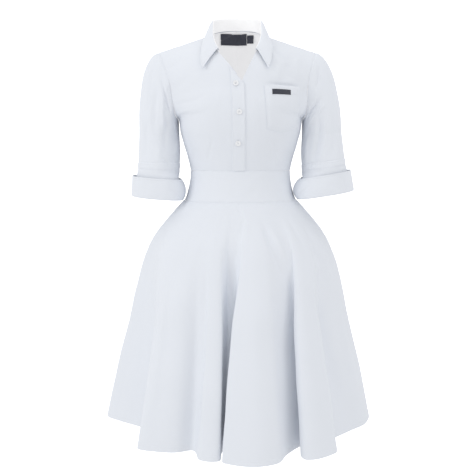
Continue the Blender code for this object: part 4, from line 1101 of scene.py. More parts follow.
class Finish:
    """A material built round its Principled shader, with one method that adds any node."""

    def __init__(self, name, colour, roughness, **constants):
        self.material = bpy.data.materials.new(name)
        self.material.use_nodes = True
        self.tree = self.material.node_tree
        self.shader = self.tree.nodes["Principled BSDF"]
        self.material.diffuse_color = (*colour, 1.0)
        self.shader.inputs["Base Color"].default_value = (*colour, 1.0)
        self.shader.inputs["Roughness"].default_value = roughness
        for socket, value in constants.items():
            self.shader.inputs[socket.replace("_", " ")].default_value = value

    def node(self, kind, settings, inputs, output=0):
        """Adds a node, sets its settings first and then its inputs, and gives one of its outputs."""
        made = self.tree.nodes.new(kind)
        for setting, value in settings.items():
            setattr(made, setting, value)
        for socket, value in inputs.items():
            if isinstance(value, Signal):
                self.tree.links.new(value.socket, made.inputs[socket])
            elif value is not None:
                made.inputs[socket].default_value = value
        return Signal(self, made.outputs[output])

    def feed(self, socket, signal):
        """Links a signal to one of the Principled shader's inputs."""
        self.tree.links.new(signal.socket, self.shader.inputs[socket])

    def cloth_lengths(self):
        """The two lengths along the cloth, in metres, from its own UV map."""
        place = self.node("ShaderNodeUVMap", {"uv_map": "cloth"}, {})
        parts = self.node("ShaderNodeSeparateXYZ", {}, {0: place})
        return parts, Signal(self, parts.socket.node.outputs[1])

    def object_place(self):
        """Place on the object, in metres."""
        return self.node("ShaderNodeTexCoord", {}, {}, "Object")

    def noise(self, place, scale, detail=3.0, roughness=0.55):
        """Soft noise from 0 to 1 with a given number of waves to a metre."""
        inputs = {"Vector": place, "Scale": scale, "Detail": detail, "Roughness": roughness}
        return self.node("ShaderNodeTexNoise", {}, inputs)

    def shade(self, factor, dark, light):
        """A colour between two, by a factor from 0 to 1."""
        inputs = {0: factor, 6: (*dark, 1.0), 7: (*light, 1.0)}
        return self.node("ShaderNodeMix", {"data_type": "RGBA"}, inputs, 2)

    def bump(self, height, strength, distance):
        """Bump from a height, into the shader's normal."""
        inputs = {"Height": height, "Strength": strength, "Distance": distance}
        self.feed("Normal", self.node("ShaderNodeBump", {}, inputs))


def once(name, make):
    """The material of a name, made by the given function the first time."""
    return bpy.data.materials.get(name) or make(name)


def plain_weave(finish, pitch):
    """Height of a plain weave: the product of two sines of the cloth's lengths, a thread pitch apart."""
    u, v = finish.cloth_lengths()
    return (u * (math.pi / pitch)).sine() * (v * (math.pi / pitch)).sine()


def cotton(name, colour, settings, painted_glow=0.0):
    """White cotton: plain weave, faint slubs and slow changes of shade over the cloth, and an emission
    strength for a painted glow.
    """
    finish = Finish(name, colour, 0.88, Sheen_Weight=0.08, Sheen_Roughness=0.5, Specular_IOR_Level=0.25,
                    Emission_Strength=painted_glow)
    place = finish.object_place()
    slow = finish.noise(place, 9.0, 2.0)
    fine = finish.noise(place, 420.0, 2.0)
    weave = plain_weave(finish, settings.thread_pitch)
    low = tuple(0.965 * part for part in colour)
    shade = slow * 0.75 + fine * 0.25
    finish.feed("Base Color", finish.shade(shade, low, colour))
    finish.feed("Roughness", 0.82 + fine * 0.12)
    height = weave * 0.5 + fine * 0.6
    finish.bump(height, settings.weave_depth, 0.00012)
    return finish.material


def outer_cotton(context):
    """The cloth's outer face."""
    settings = context.scene.dress_cloth
    return once("white_cotton", lambda name: cotton(name, tuple(settings.colour), settings))


def inner_cotton(context):
    """The cloth's inner face, a little warmer, with a painted glow: emission in place of the light that the
    thin cloth lets through.
    """
    settings = context.scene.dress_cloth
    colour = tuple(settings.inner_colour)
    return once("white_cotton_inside", lambda name: cotton(name, colour, settings, settings.painted_glow))


def thread_material(settings):
    """Sewing thread, twisted along its length."""
    def make(name):
        colour = tuple(settings.thread_colour)
        finish = Finish(name, colour, 0.62, Specular_IOR_Level=0.35)
        grain = finish.noise(finish.object_place(), 2600.0, 2.0)
        low = tuple(0.86 * part for part in colour)
        finish.feed("Base Color", finish.shade(grain, low, colour))
        finish.feed("Roughness", 0.55 + grain * 0.2)
        finish.bump(grain, 0.4, 0.00008)
        return finish.material

    return once("sewing_thread", make)


def woven_label_material(context):
    """Dark satin-woven label: fine ribs across it, with a slightly lighter sheen on the ribs."""
    settings = context.scene.dress_labels

    def make(name):
        colour = tuple(settings.colour)
        finish = Finish(name, colour, 0.55, Specular_IOR_Level=0.45, Sheen_Weight=0.2)
        u, v = finish.cloth_lengths()
        ribs = (v * (2.0 * math.pi / settings.rib_pitch)).sine() * 0.5 + 0.5
        cross = (u * (2.0 * math.pi / (settings.rib_pitch * 0.8))).sine() * 0.5 + 0.5
        grain = finish.noise(finish.object_place(), 900.0, 2.0)
        light = tuple(0.022 + 1.7 * part for part in colour)
        finish.feed("Base Color", finish.shade(ribs * 0.45 + cross * 0.2 + grain * 0.35, colour, light))
        finish.feed("Roughness", 0.45 + grain * 0.25)
        finish.bump(ribs * 0.7 + cross * 0.3, 0.35, 0.00010)
        return finish.material

    return once("dark_woven_label", make)


def button_material(context):
    """White polyester button: glossy, with a faint clouding."""
    settings = context.scene.dress_buttons

    def make(name):
        colour = tuple(settings.colour)
        finish = Finish(name, colour, 0.25, Coat_Weight=0.35, Coat_Roughness=0.08)
        cloud = finish.noise(finish.object_place(), 260.0, 3.0)
        low = tuple(0.93 * part for part in colour)
        finish.feed("Base Color", finish.shade(cloud, low, colour))
        finish.feed("Roughness", 0.20 + cloud * 0.16)
        finish.bump(cloud, 0.08, 0.00010)
        return finish.material

    return once("button_polyester", make)


class DressCloth(bpy.types.PropertyGroup):
    """The cloth of every sewn piece."""

    colour: bpy.props.FloatVectorProperty(
        name="Colour", description="Colour of the cloth's outer face",
        subtype="COLOR", size=3, min=0.0, max=1.0, default=(0.79, 0.82, 0.875))
    # Painted glow: emission strength of the inner cotton, which brightens the cloth's inside in place of
    # light let through the thin cloth.
    painted_glow: bpy.props.FloatProperty(
        name="Light through", description="Share of light that the thin cloth lets through to its inside",
        subtype="FACTOR", default=0.19, min=0.0, max=1.0)
    inner_colour: bpy.props.FloatVectorProperty(
        name="Inner colour", description="Colour of the cloth's inner face",
        subtype="COLOR", size=3, min=0.0, max=1.0, default=(0.80, 0.80, 0.81))
    panel_wall: bpy.props.FloatProperty(
        name="Panel wall", description="Thickness of a single panel", unit="LENGTH", default=0.0008)
    double_wall: bpy.props.FloatProperty(
        name="Double wall", description="Thickness of collar, cuffs, strip and pocket",
        unit="LENGTH", default=0.0012)
    thread_pitch: bpy.props.FloatProperty(
        name="Thread pitch", description="Distance between threads of the weave",
        unit="LENGTH", default=0.0007)
    weave_depth: bpy.props.FloatProperty(
        name="Weave depth", description="Strength of the weave's bump", default=0.22, min=0.0, max=1.0)
    crease_share: bpy.props.FloatProperty(
        name="Creases", description="Share of the creases' full height", default=1.0, min=0.0, max=2.0)
    hem_depth: bpy.props.FloatProperty(
        name="Hem", description="Depth of the turned-up skirt hem", unit="LENGTH", default=0.0110)


class DressSewing(bpy.types.PropertyGroup):
    """Thread and stitches."""

    stitch_length: bpy.props.FloatProperty(
        name="Stitch length", description="Length of one stitch", unit="LENGTH", default=0.0024)
    stitch_gap: bpy.props.FloatProperty(
        name="Stitch gap", description="Gap between two stitches", unit="LENGTH", default=0.0009)
    thread_radius: bpy.props.FloatProperty(
        name="Thread radius", description="Half the thread's thickness", unit="LENGTH", default=0.00020)
    edge_distance: bpy.props.FloatProperty(
        name="Edge distance", description="Distance of topstitching from an edge",
        unit="LENGTH", default=0.0022)
    collar_distance: bpy.props.FloatProperty(
        name="Collar distance", description="Distance of topstitching from the collar's edge",
        unit="LENGTH", default=0.0048)
    thread_colour: bpy.props.FloatVectorProperty(
        name="Thread colour", description="Colour of the sewing thread",
        subtype="COLOR", size=3, min=0.0, max=1.0, default=(0.80, 0.82, 0.86))


class DressButtons(bpy.types.PropertyGroup):
    """The four-hole buttons of the front."""

    radius: bpy.props.FloatProperty(
        name="Radius", description="Radius of a button", unit="LENGTH", default=0.0060)
    hole_radius: bpy.props.FloatProperty(
        name="Hole radius", description="Radius of a hole", unit="LENGTH", default=0.00075)
    hole_spacing: bpy.props.FloatProperty(
        name="Hole spacing", description="Distance between neighbouring holes",
        unit="LENGTH", default=0.0025)
    colour: bpy.props.FloatVectorProperty(
        name="Colour", description="Colour of the buttons",
        subtype="COLOR", size=3, min=0.0, max=1.0, default=(0.90, 0.91, 0.93))


class DressLabels(bpy.types.PropertyGroup):
    """The bare woven labels."""

    colour: bpy.props.FloatVectorProperty(
        name="Colour", description="Colour of the labels",
        subtype="COLOR", size=3, min=0.0, max=1.0, default=(0.010, 0.012, 0.024))
    rib_pitch: bpy.props.FloatProperty(
        name="Rib pitch", description="Distance between the ribs of the weave",
        unit="LENGTH", default=0.0006)


class DressStage(bpy.types.PropertyGroup):
    """Floor, light and camera."""

    floor_colour: bpy.props.FloatVectorProperty(
        name="Floor colour", description="Colour of the floor and backdrop",
        subtype="COLOR", size=3, min=0.0, max=1.0, default=(0.92, 0.92, 0.92))
    floor_glow: bpy.props.FloatProperty(
        name="Floor glow", description="Light that the paper gives off by itself", default=0.75, min=0.0)
    sky_strength: bpy.props.FloatProperty(
        name="Sky", description="Strength of the even light from all round", default=0.76, min=0.0)
    key_power: bpy.props.FloatProperty(
        name="Key light", description="Power of the large light at the front left",
        unit="POWER", default=36.0, min=0.0)
    front_power: bpy.props.FloatProperty(
        name="Front light", description="Power of the light straight ahead",
        unit="POWER", default=5.0, min=0.0)
    fill_power: bpy.props.FloatProperty(
        name="Fill light", description="Power of the light at the front right",
        unit="POWER", default=17.0, min=0.0)
    top_power: bpy.props.FloatProperty(
        name="Top light", description="Power of the light above", unit="POWER", default=14.0, min=0.0)
    focal_length: bpy.props.FloatProperty(
        name="Focal length", description="Focal length of the camera",
        unit="LENGTH", default=FOCAL_LENGTH)


def front_cloth(side, centre, slope_meets):
    """One front: rows run up the centre line and then the neckline, columns out to the side and armhole."""
    settings = bpy.context.scene.dress_cloth
    rows = SHOULDER_ROW * spaced(FRONT_ROWS, 5, 5, 0.012)[:, None]
    across = spaced(FRONT_COLUMNS, 5, 5, 0.02)[None, :]
    edge_height = section(BODICE_TABLE, rows[:, 0])[:, 2]
    neck = section(BODICE_TABLE, np.array(float(FRONT_NECK_ROW)))
    slope = (neck[0] - side * centre) / (neck[2] - slope_meets)
    wanted = np.where(
        edge_height < slope_meets,
        side * centre,
        side * centre + slope * (edge_height - slope_meets),
    )
    below = rows[:, 0] < FRONT_NECK_ROW - 0.01
    start_x = np.where(below, wanted, section(BODICE_TABLE, rows[:, 0])[:, 0])
    probe = np.linspace(-0.25, 0.6, 681)[None, :]
    line = bodice(probe, rows, 1.0)[..., 0]
    start = np.array([np.interp(x, values, probe[0]) for x, values in zip(start_x, line)])[:, None]
    start = np.where(below[:, None], start, 0.0)
    spread = start + (1.0 - start) * across
    points = bodice(spread, rows, side)
    outward = bodice_normals(spread, rows, side)
    relief = front_relief(points, side) * settings.crease_share
    relief = relief * ease(lengths(points)[1][-1:] / 0.001)
    relief = relief + seam_relief(points, ("end", "top", "bottom"))
    return Cloth(shift_neck(points), outward).raised(relief)


def back_cloths():
    """The back's two halves, whose rows run from the shoulder down to the waist, merged at the centre."""
    settings = bpy.context.scene.dress_cloth
    rows = SHOULDER_ROW + (LAST_ROW - SHOULDER_ROW) * spaced(BACK_ROWS, 5, 5, 0.012)
    rows = np.unique(np.append(rows, BACK_NECK_ROW))[:, None]
    across = spaced(BACK_COLUMNS, 0, 5, 0.02)[None, :]
    halves = []
    for side in (1.0, -1.0):
        points = bodice(across, rows, side)
        outward = bodice_normals(across, rows, side)
        at_centre = rows[:, 0] >= BACK_NECK_ROW
        outward[at_centre, 0, 0] = 0.0
        outward = unit(outward)
        x, z = points[..., 0], points[..., 2]
        low = ease((rows - SHOULDER_ROW) / 2.0)
        relief = creases(x, z, BACK_CREASES, 1.0) + unevenness(x, z, 0.12, 0.0005)
        relief = relief * low * settings.crease_share
        relief = relief + seam_relief(points, ("end", "top", "bottom"))
        cloth = Cloth(shift_neck(points), outward).raised(relief)
        cloth.outward[at_centre, 0, 0] = 0.0
        cloth.outward = unit(cloth.outward)
        halves.append(cloth)
    return halves


def collar_cloth():
    """One-piece collar: up from the neck seam, over the roll line, and down to the pointed edge.

    The stand and the fall are two Bezier curves at each station, with a soft roll between them.
    The edge is a fold, so it is drawn in a little where its topstitching holds it.
    """
    share = np.linspace(-1.0, 1.0, COLLAR_COLUMNS)
    share = np.unique(np.concatenate([share, [-0.998, -0.994, 0.994, 0.998]]))
    half = np.asarray(COLLAR_TABLE, dtype=float)
    both = np.concatenate([half[:0:-1] * np.array([-1.0, 1.0, 1.0] * 3), half])
    values = section(both, (share + 1.0) * (len(half) - 1.0))
    seam, roll, edge = values[:, 0:3], values[:, 3:6], values[:, 6:9]
    seam[:, 2] -= STAND_SEAT
    tips = ease((np.abs(share) - 0.6) / 0.4)
    shift = np.where(share < 0.0, -COLLAR_TIP_SHIFT["right"], COLLAR_TIP_SHIFT["left"])
    edge[:, 0] += shift * tips
    outward = edge - roll
    outward[:, 2] = 0.0
    outward = unit(outward)
    stand = np.linalg.norm(roll - seam, axis=-1, keepdims=True)
    bend = np.minimum(COLLAR_ROLL, 0.45 * stand)
    lift = seam + (roll - seam) * 0.6
    up = np.linspace(0.0, 1.0, STAND_LINES)[:, None, None]
    down = spaced(34, 0, 4, 0.02)[1:, None, None]
    stand_rows = bezier(seam, lift, roll - outward * bend, roll, up)
    bulge = roll + (edge - roll) * 0.45 + outward * bend
    fall_rows = bezier(roll, roll + outward * bend, bulge, edge, down)
    points = shift_neck(np.concatenate([stand_rows, fall_rows]))
    cloth = Cloth(points, grid_normals(points))
    u, v = lengths(points)
    from_edge = v[-1:] - v
    from_front = np.minimum(u, u[:, -1:] - u)
    nearest = np.minimum(from_edge, np.where(v > v[STAND_LINES:STAND_LINES + 1], from_front, 1.0))
    held = bpy.context.scene.dress_sewing.collar_distance
    relief = EDGE_RISE * ease(nearest / 0.0014) + groove(nearest - held, 0.00030, GROOVE_WIDTH)
    relief = relief + unevenness(u, v, 0.05, 0.00022) * ease(nearest / 0.006)
    return cloth.raised(relief)


def placket_cloth():
    """Strip down the centre front, from the front's own points, with its top cut along the neckline."""
    across = spaced(STRIP_COLUMNS, 4, 4, 0.04)[None, :]
    x = PLACKET_LEFT + (PLACKET_RIGHT - PLACKET_LEFT) * across
    top = np.interp(x, [PLACKET_LEFT, PLACKET_RIGHT], [PLACKET_TOP_LEFT, PLACKET_TOP_RIGHT])
    down = spaced(STRIP_ROWS, 4, 0, 0.01)[:, None]
    z = top + (PLACKET_BOTTOM - top) * down
    points, outward = over_front(np.broadcast_to(x, z.shape), z, np.full(z.shape, PLACKET_LIFT))
    u, v = lengths(points)
    nearest = np.minimum(np.minimum(u, u[:, -1:] - u), v)
    held = bpy.context.scene.dress_sewing.edge_distance
    relief = -0.0008 * (1.0 - ease(nearest / 0.0024)) ** 2
    relief = relief + groove(nearest - held, 0.00028, NARROW_GROOVE)
    wave = np.sin(v / 0.0135 + 0.8) + 0.6 * np.sin(v / 0.031)
    relief = relief + 0.00018 * wave * ease(u / 0.004)
    for place in BUTTON_PLACES:
        near = np.exp(-((z - place[1]) / 0.011) ** 2 - ((x - place[0]) / 0.010) ** 2)
        relief = relief - 0.0004 * near
    return Cloth(points, outward).raised(relief)


def pocket_gape(along, down):
    """How far the pocket's mouth stands off the front, by shares of the pocket's width and height."""
    sag = np.maximum(np.sin(math.pi * np.clip(along, 0.0, 1.0)), 0.0)
    return POCKET_GAPE * sag ** GAPE_EVENNESS * ease(1.0 - down / GAPE_DEPTH)


def pocket_cloth():
    """Patch pocket with a shallow point, flat below and standing off at its hemmed mouth."""
    s = spaced(POCKET_COLUMNS, 5, 5, 0.02)[None, :]
    t = spaced(POCKET_ROWS, 5, 5, 0.02)[:, None]
    inner = POCKET_INNER + POCKET_TAPER * t
    outer = POCKET_OUTER - POCKET_TAPER * t
    x = inner + (outer - inner) * s
    z = POCKET_TOP + (POCKET_BOTTOM - POCKET_TOP) * t - POCKET_POINT * (1.0 - np.abs(2.0 * s - 1.0)) * t
    points, outward = over_front(x, z, POCKET_LIFT + pocket_gape(s, t))
    u, v = lengths(points)
    sides = np.minimum(np.minimum(u, u[:, -1:] - u), v[-1:] - v)
    held = bpy.context.scene.dress_sewing.edge_distance
    relief = -POCKET_EDGE_DROP * (1.0 - ease(sides / 0.0170)) ** 2
    relief = relief + groove(sides - held, 0.00014, NARROW_GROOVE)
    relief = relief + EDGE_RISE * (1.0 - ease((v - POCKET_HEM) / 0.0008))
    relief = relief + groove(v - POCKET_HEM + HEM_STITCH_INSET, 0.0003, NARROW_GROOVE)
    relief = relief + creases(x, z, POCKET_CREASES, 1.0) * ease(sides / 0.008)
    return Cloth(points, outward).raised(relief)


def tab_cloth():
    """Small woven tab on the pocket's face, a little bowed between its stitched ends."""
    s = np.linspace(0.0, 1.0, 40)[None, :]
    t = np.linspace(0.0, 1.0, 14)[:, None]
    x = TAB_INNER + (TAB_OUTER - TAB_INNER) * s + 0.0 * t
    z = TAB_TOP - TAB_HEIGHT * t + 0.0 * s
    along = (x - POCKET_INNER) / (POCKET_OUTER - POCKET_INNER)
    down = (z - POCKET_TOP) / (POCKET_BOTTOM - POCKET_TOP)
    points, outward = over_front(x, z, TAB_LIFT + pocket_gape(along, down))
    relief = 0.0002 * np.sin(math.pi * s) + 0.0001 * np.sin(s * 9.0 + t * 2.0)
    return Cloth(points, outward).raised(relief + 0.0 * points[..., 0])


def label_cloth(start, end, top, height):
    """Woven label on the back's inner face: the back's own points moved in, facing forwards."""
    s = np.linspace(0.0, 1.0, 48)[None, :]
    t = np.linspace(0.0, 1.0, 22)[:, None]
    x = start + (end - start) * s + 0.0 * t
    z = top - height * t + 0.0 * s
    side = np.where(x < 0.0, -1.0, 1.0)
    guess = np.interp(z, [-0.03, 0.0], [BACK_NECK_ROW + 0.8, BACK_NECK_ROW - 0.2])
    across, row = find_on_bodice(x, z, side, np.abs(x) / 0.15, guess)
    outward = bodice_normals(across, row, side)
    sag = 0.0005 * np.sin(math.pi * s) * np.sin(math.pi * t) + 0.0002 * np.sin(7.0 * s + 3.0 * t)
    points = bodice(across, row, side) - outward * (LABEL_LIFT + sag)[..., None]
    return Cloth(shift_neck(points), -outward)


def sleeve_cloth(which):
    """Sleeve tube with long soft folds, puckers at the armhole and a stitched hem above the cuff."""
    settings = bpy.context.scene.dress_cloth
    head = spaced(SLEEVE_HEAD_ROWS, 5, 0, 0.02)
    lower = spaced(SLEEVE_LOWER_ROWS, 0, 5, 0.02)
    points, degrees = sleeve_points(which, SLEEVE_COLUMNS, head, lower)
    outward = grid_normals(points, closed=True)
    side = -1.0 if which == "right" else 1.0
    outward = -outward * side
    v = lengths(points)[1]
    share = v / v[-1:]
    relief = creases(degrees[None, :], share, SLEEVE_CREASES[which], SLEEVE_FOLD_SCALE)
    relief = relief + unevenness(degrees[None, :] / 360.0 * 0.32, v, 0.09, 0.0004)
    relief = relief * settings.crease_share * ease(share / 0.12)
    closed_u = np.abs(degrees)[None, :] / 360.0 * 0.5
    wave = np.sin(closed_u / 0.0021 + 1.2 * np.sin(closed_u / 0.012)) + 0.6 * np.sin(closed_u / 0.0046)
    gather = 0.00045 * wave * np.exp(-v / 0.012) * (1.0 - np.exp(-v / 0.002))
    dip = groove(v, 0.0008, SEAM_DIP_WIDTH)
    above_end = v[-1:] - v
    hem = 0.0007 * (1.0 - ease((above_end - SLEEVE_HEM) / HEM_STEP))
    hem = hem + groove(above_end - SLEEVE_HEM - HEM_STEP, 0.0007, 0.0011)
    return Cloth(points, outward, closed=True).raised(relief + gather + dip + hem)


def cuff_cloth(which):
    """Turned-back cuff: down inside from the seam, round the fold, and up outside to the free edge."""
    side = -1.0 if which == "right" else 1.0
    turn = np.radians(180.0 - 360.0 * np.linspace(0.0, 1.0, CUFF_COLUMNS + 1))
    seam = np.asarray(SLEEVE_TABLES[which][-1], dtype=float)
    fold, top = (np.asarray(row, dtype=float) for row in CUFF_TABLES[which])
    shrink = np.array([1.0, 0.0, -1.0, 0.0, 0.0, -1.0])
    rise = np.array([0.0, 1.0, 0.0, 1.0, 0.0, 0.0])
    seam = seam + shrink * CAD_CLOTH
    inner_fold = fold + shrink * 2.0 * CUFF_FOLD_RADIUS + rise * CUFF_FOLD_RADIUS
    outer_fold = fold + rise * CUFF_FOLD_RADIUS
    share = np.linspace(0.0, 1.0, 22)[:-1]
    shares = [row[0] for row in CUFF_INNER_TABLE]
    inner = section(CUFF_INNER_TABLE, np.interp(share, shares, np.arange(len(shares))))
    away = np.array([1.0, 0.0, 0.0, 0.0, 0.0, 0.0])
    inside = seam + (inner_fold - seam) * share[:, None] + away * inner[:, 3:4]
    angle = np.linspace(0.0, math.pi, 13)[:, None]
    middle = (inner_fold + outer_fold) / 2.0
    bend = middle + shrink * CUFF_FOLD_RADIUS * np.cos(angle) - rise * CUFF_FOLD_RADIUS * np.sin(angle)
    outer_share = spaced(36, 0, 5, 0.03)[1:, None]
    outside = outer_fold + (top - outer_fold) * outer_share
    profile = np.concatenate([inside, bend, outside])
    number = np.arange(len(profile))
    boxes = np.full(len(profile), CUFF_BOXINESS)
    boxes[:len(share)] = inner[:, 1]
    twist = np.full(len(profile), math.radians(CUFF_TURN))
    twist[:len(share)] = np.radians(inner[:, 2])
    values = np.broadcast_to(profile[:, None, :], (len(profile), len(turn), 6))
    points = ring(values, turn[None, :], boxes[:, None], twist[:, None])
    near_body = np.exp(-((180.0 - np.abs(np.degrees(turn))) / CUFF_SWELL_SPREAD) ** 2)
    swell = np.clip(np.sin(math.pi * outer_share), 0.0, 1.0) ** CUFF_SWELL_FULLNESS
    points[-len(outer_share):, :, 0] -= CUFF_SWELL[which] * swell * near_body
    points = points * np.array([side, 1.0, 1.0])
    outward = grid_normals(points, closed=True) * side
    v = lengths(points)[1]
    out_share = np.clip((number - len(inside) - 6) / 12.0, 0.0, 1.0)[:, None]
    from_top = v[-1:] - v
    degrees = np.degrees(turn)[None, :]
    relief = creases(degrees, v / v[-1:], CUFF_CREASES[which], SLEEVE_FOLD_SCALE) * out_share
    sideways, forward = np.cos(turn)[None, :] * 0.06, np.sin(turn)[None, :] * 0.05
    relief = relief + unevenness(sideways, v + forward, 0.08, 0.0006) * out_share
    relief = relief + groove(from_top - CUFF_STITCH, 0.0003, GROOVE_WIDTH) * out_share
    relief = relief + 0.0003 * ease(from_top / 0.0015) * out_share
    return Cloth(points, outward, closed=True).raised(relief)


def waist_cloths():
    """Front and back of the shaped waistband: ellipses through the band's sections, cut at the sides."""
    rows = (len(WAIST_TABLE) - 1.0) * spaced(WAIST_ROWS, 5, 5, 0.03)[:, None]
    share = spaced(WAIST_COLUMNS, 5, 5, 0.006)
    azimuth = np.radians(-90.0 + 180.0 * share)[None, :]
    cloths = []
    for turn, table in ((0.0, WAIST_FRONT_CREASES), (math.pi, WAIST_BACK_CREASES)):
        values = section(WAIST_TABLE, np.broadcast_to(rows, (len(rows), azimuth.shape[1])))
        a = azimuth + turn
        depth = np.where(np.cos(a) > 0.0, values[..., 2], values[..., 3])
        points = np.stack([
            values[..., 1] * np.sin(a),
            -depth * np.cos(a),
            values[..., 0] - WAIST_SIDE_DROP * np.sin(a) ** 2 + WAIST_REACH * np.exp(-rows / 0.15),
        ], -1)
        outward = -grid_normals(points)
        u, v = lengths(points)
        relief = creases(np.degrees(a) + 0.0 * v, v, table, WAIST_FOLD_SCALE)
        relief = relief + unevenness(u, v, 0.07, 0.00035) + seam_relief(
            points, ("start", "end", "top", "bottom"), WAIST_SEAM_DIP)
        cloths.append(Cloth(points, outward).raised(relief))
    return cloths


def skirt_cloths():
    """Front and back of the flared skirt, cut at the side seams, with creases and a turned-up hem."""
    settings = bpy.context.scene.dress_cloth
    last = len(SKIRT_TABLE) - 1.0
    rows = np.concatenate([
        np.linspace(0.0, 3.0, 42)[:-1],
        np.linspace(3.0, last - 0.5, 76)[:-1],
    ])
    drops = np.array([row[0] for row in SKIRT_TABLE])
    hem_start = drops[-1] - settings.hem_depth
    near_hem = drops[-1] - np.array(HEM_LINES)
    fine = np.linspace(last - 1.0, last, 400)
    fine_drop = section(SKIRT_TABLE, fine)[:, 0]
    near_rows = np.interp(near_hem, fine_drop, fine)
    rows = np.unique(np.concatenate([[0.0, 0.03, 0.06, 0.10, 0.16], rows, near_rows]))
    points, drop, hung = skirt_points(SKIRT_COLUMNS, rows)
    wrapped = np.concatenate([points[:, -2:-1], points, points[:, 1:2]], axis=1)
    outward = unit(np.cross(np.gradient(wrapped, axis=1), np.gradient(wrapped, axis=0)))[:, 1:-1] * -1.0
    relief = creases(hung[None, :], drop, SKIRT_CREASES, SKIRT_FOLD_SCALE) * settings.crease_share
    relief = relief + unevenness(hung[None, :] / 360.0 * 1.2, drop, 0.16, 0.0010) * ease(drop / 0.05)
    in_hem = 1.0 - ease((hem_start - drop + 0.0004) / 0.0008)
    held = hem_start + HEM_STEP
    ripple = 0.0003 * np.sin(hung[None, :] * 2.9 + 1.5 * np.sin(hung[None, :] * 0.7))
    ripple = ripple * np.exp(-((drop - held) / 0.008) ** 2)
    relief = relief + EDGE_RISE * in_hem + groove(drop - held, 0.0003, GROOVE_WIDTH) + ripple
    halves = []
    for part in (slice(None, SKIRT_COLUMNS + 1), slice(SKIRT_COLUMNS, None)):
        seams = seam_relief(points[:, part], ("start", "end", "top"), WAIST_SEAM_DIP)
        halves.append(Cloth(points[:, part], outward[:, part]).raised(relief[:, part] + seams))
    return halves


def button_points(centre, facing, settings):
    """A turned button as rings of points: a foot, a rounded rim and a dished face with four holes.

    The face's height is its profile less a round cup at each hole, by a smooth step of the distance.
    """
    across = unit(np.cross(facing, np.array([0.0, 0.0, 1.0])))
    upward = np.cross(across, facing)
    radius = settings.radius
    face = np.linspace(0.72, 0.0, 46)
    dish = 0.00150 + 0.00012 * np.cos(math.pi * np.clip(face / 0.72, 0.0, 1.0))
    rim = np.array(BUTTON_RIM)
    share = np.concatenate([rim[:, 0], face])
    height = np.concatenate([rim[:, 1], dish])
    angle = 2.0 * math.pi * np.linspace(0.0, 1.0, 73)
    flat_x = share[:, None] * radius * np.cos(angle)[None, :]
    flat_y = share[:, None] * radius * np.sin(angle)[None, :]
    level = np.broadcast_to(height[:, None], flat_x.shape).copy()
    on_face = (np.arange(len(share)) >= len(rim))[:, None]
    for hole_x, hole_y in hole_places(settings):
        distance = np.hypot(flat_x - hole_x, flat_y - hole_y)
        cup = 1.0 - ease((distance - settings.hole_radius * 0.8) / (settings.hole_radius * 0.4))
        level = level - 0.0012 * cup * on_face
    points = (
        centre + across * flat_x[..., None] + upward * flat_y[..., None] + facing * level[..., None]
    )
    return points, across, upward


def hole_places(settings):
    """The four holes' places on a button's face."""
    half = settings.hole_spacing / 2.0
    return [(half, half), (-half, half), (-half, -half), (half, -half)]


def revolve_faces(rows, columns):
    """Quads of a closed grid of rings whose last column repeats the first."""
    number = np.arange(rows * columns).reshape(rows, columns)
    number[:, -1] = number[:, 0]
    return grid_quads(number).reshape(-1, 4)


def strand(start, end, facing, radius, rise):
    """A thread from one point to another: rings of six along a line that rises by a sine between them."""
    t = np.linspace(0.0, 1.0, 13)[:, None]
    arch = np.sin(math.pi * t)
    line = start + (end - start) * t + facing * (rise * arch - rise * 0.9 * (1.0 - arch))
    along = unit(np.gradient(line, axis=0))
    sideways = unit(np.cross(along, facing))
    upward = np.cross(sideways, along)
    angle = 2.0 * math.pi * np.linspace(0.0, 1.0, 7)
    around = sideways[:, None] * np.cos(angle)[None, :, None]
    around = around + upward[:, None] * np.sin(angle)[None, :, None]
    return line[:, None] + around * radius


def stage_points():
    """Floor and backdrop as one sheet: a level floor, a quarter circle and an upright wall."""
    bend = np.linspace(0.0, math.pi / 2.0, 25)
    y = np.concatenate([[FLOOR_FRONT], FLOOR_BACK + FLOOR_BEND * np.sin(bend), [FLOOR_BACK + FLOOR_BEND]])
    z = np.concatenate([[0.0], FLOOR_BEND * (1.0 - np.cos(bend)), [FLOOR_RISE]]) + FLOOR_HEIGHT
    x = np.linspace(-FLOOR_HALF_WIDTH, FLOOR_HALF_WIDTH, 9)
    return np.stack([
        np.broadcast_to(x[None, :], (len(y), len(x))),
        np.broadcast_to(y[:, None], (len(y), len(x))),
        np.broadcast_to(z[:, None], (len(y), len(x))),
    ], -1)


class DressOperator:
    """What the operators of this file share."""

    bl_options = {"REGISTER", "UNDO"}


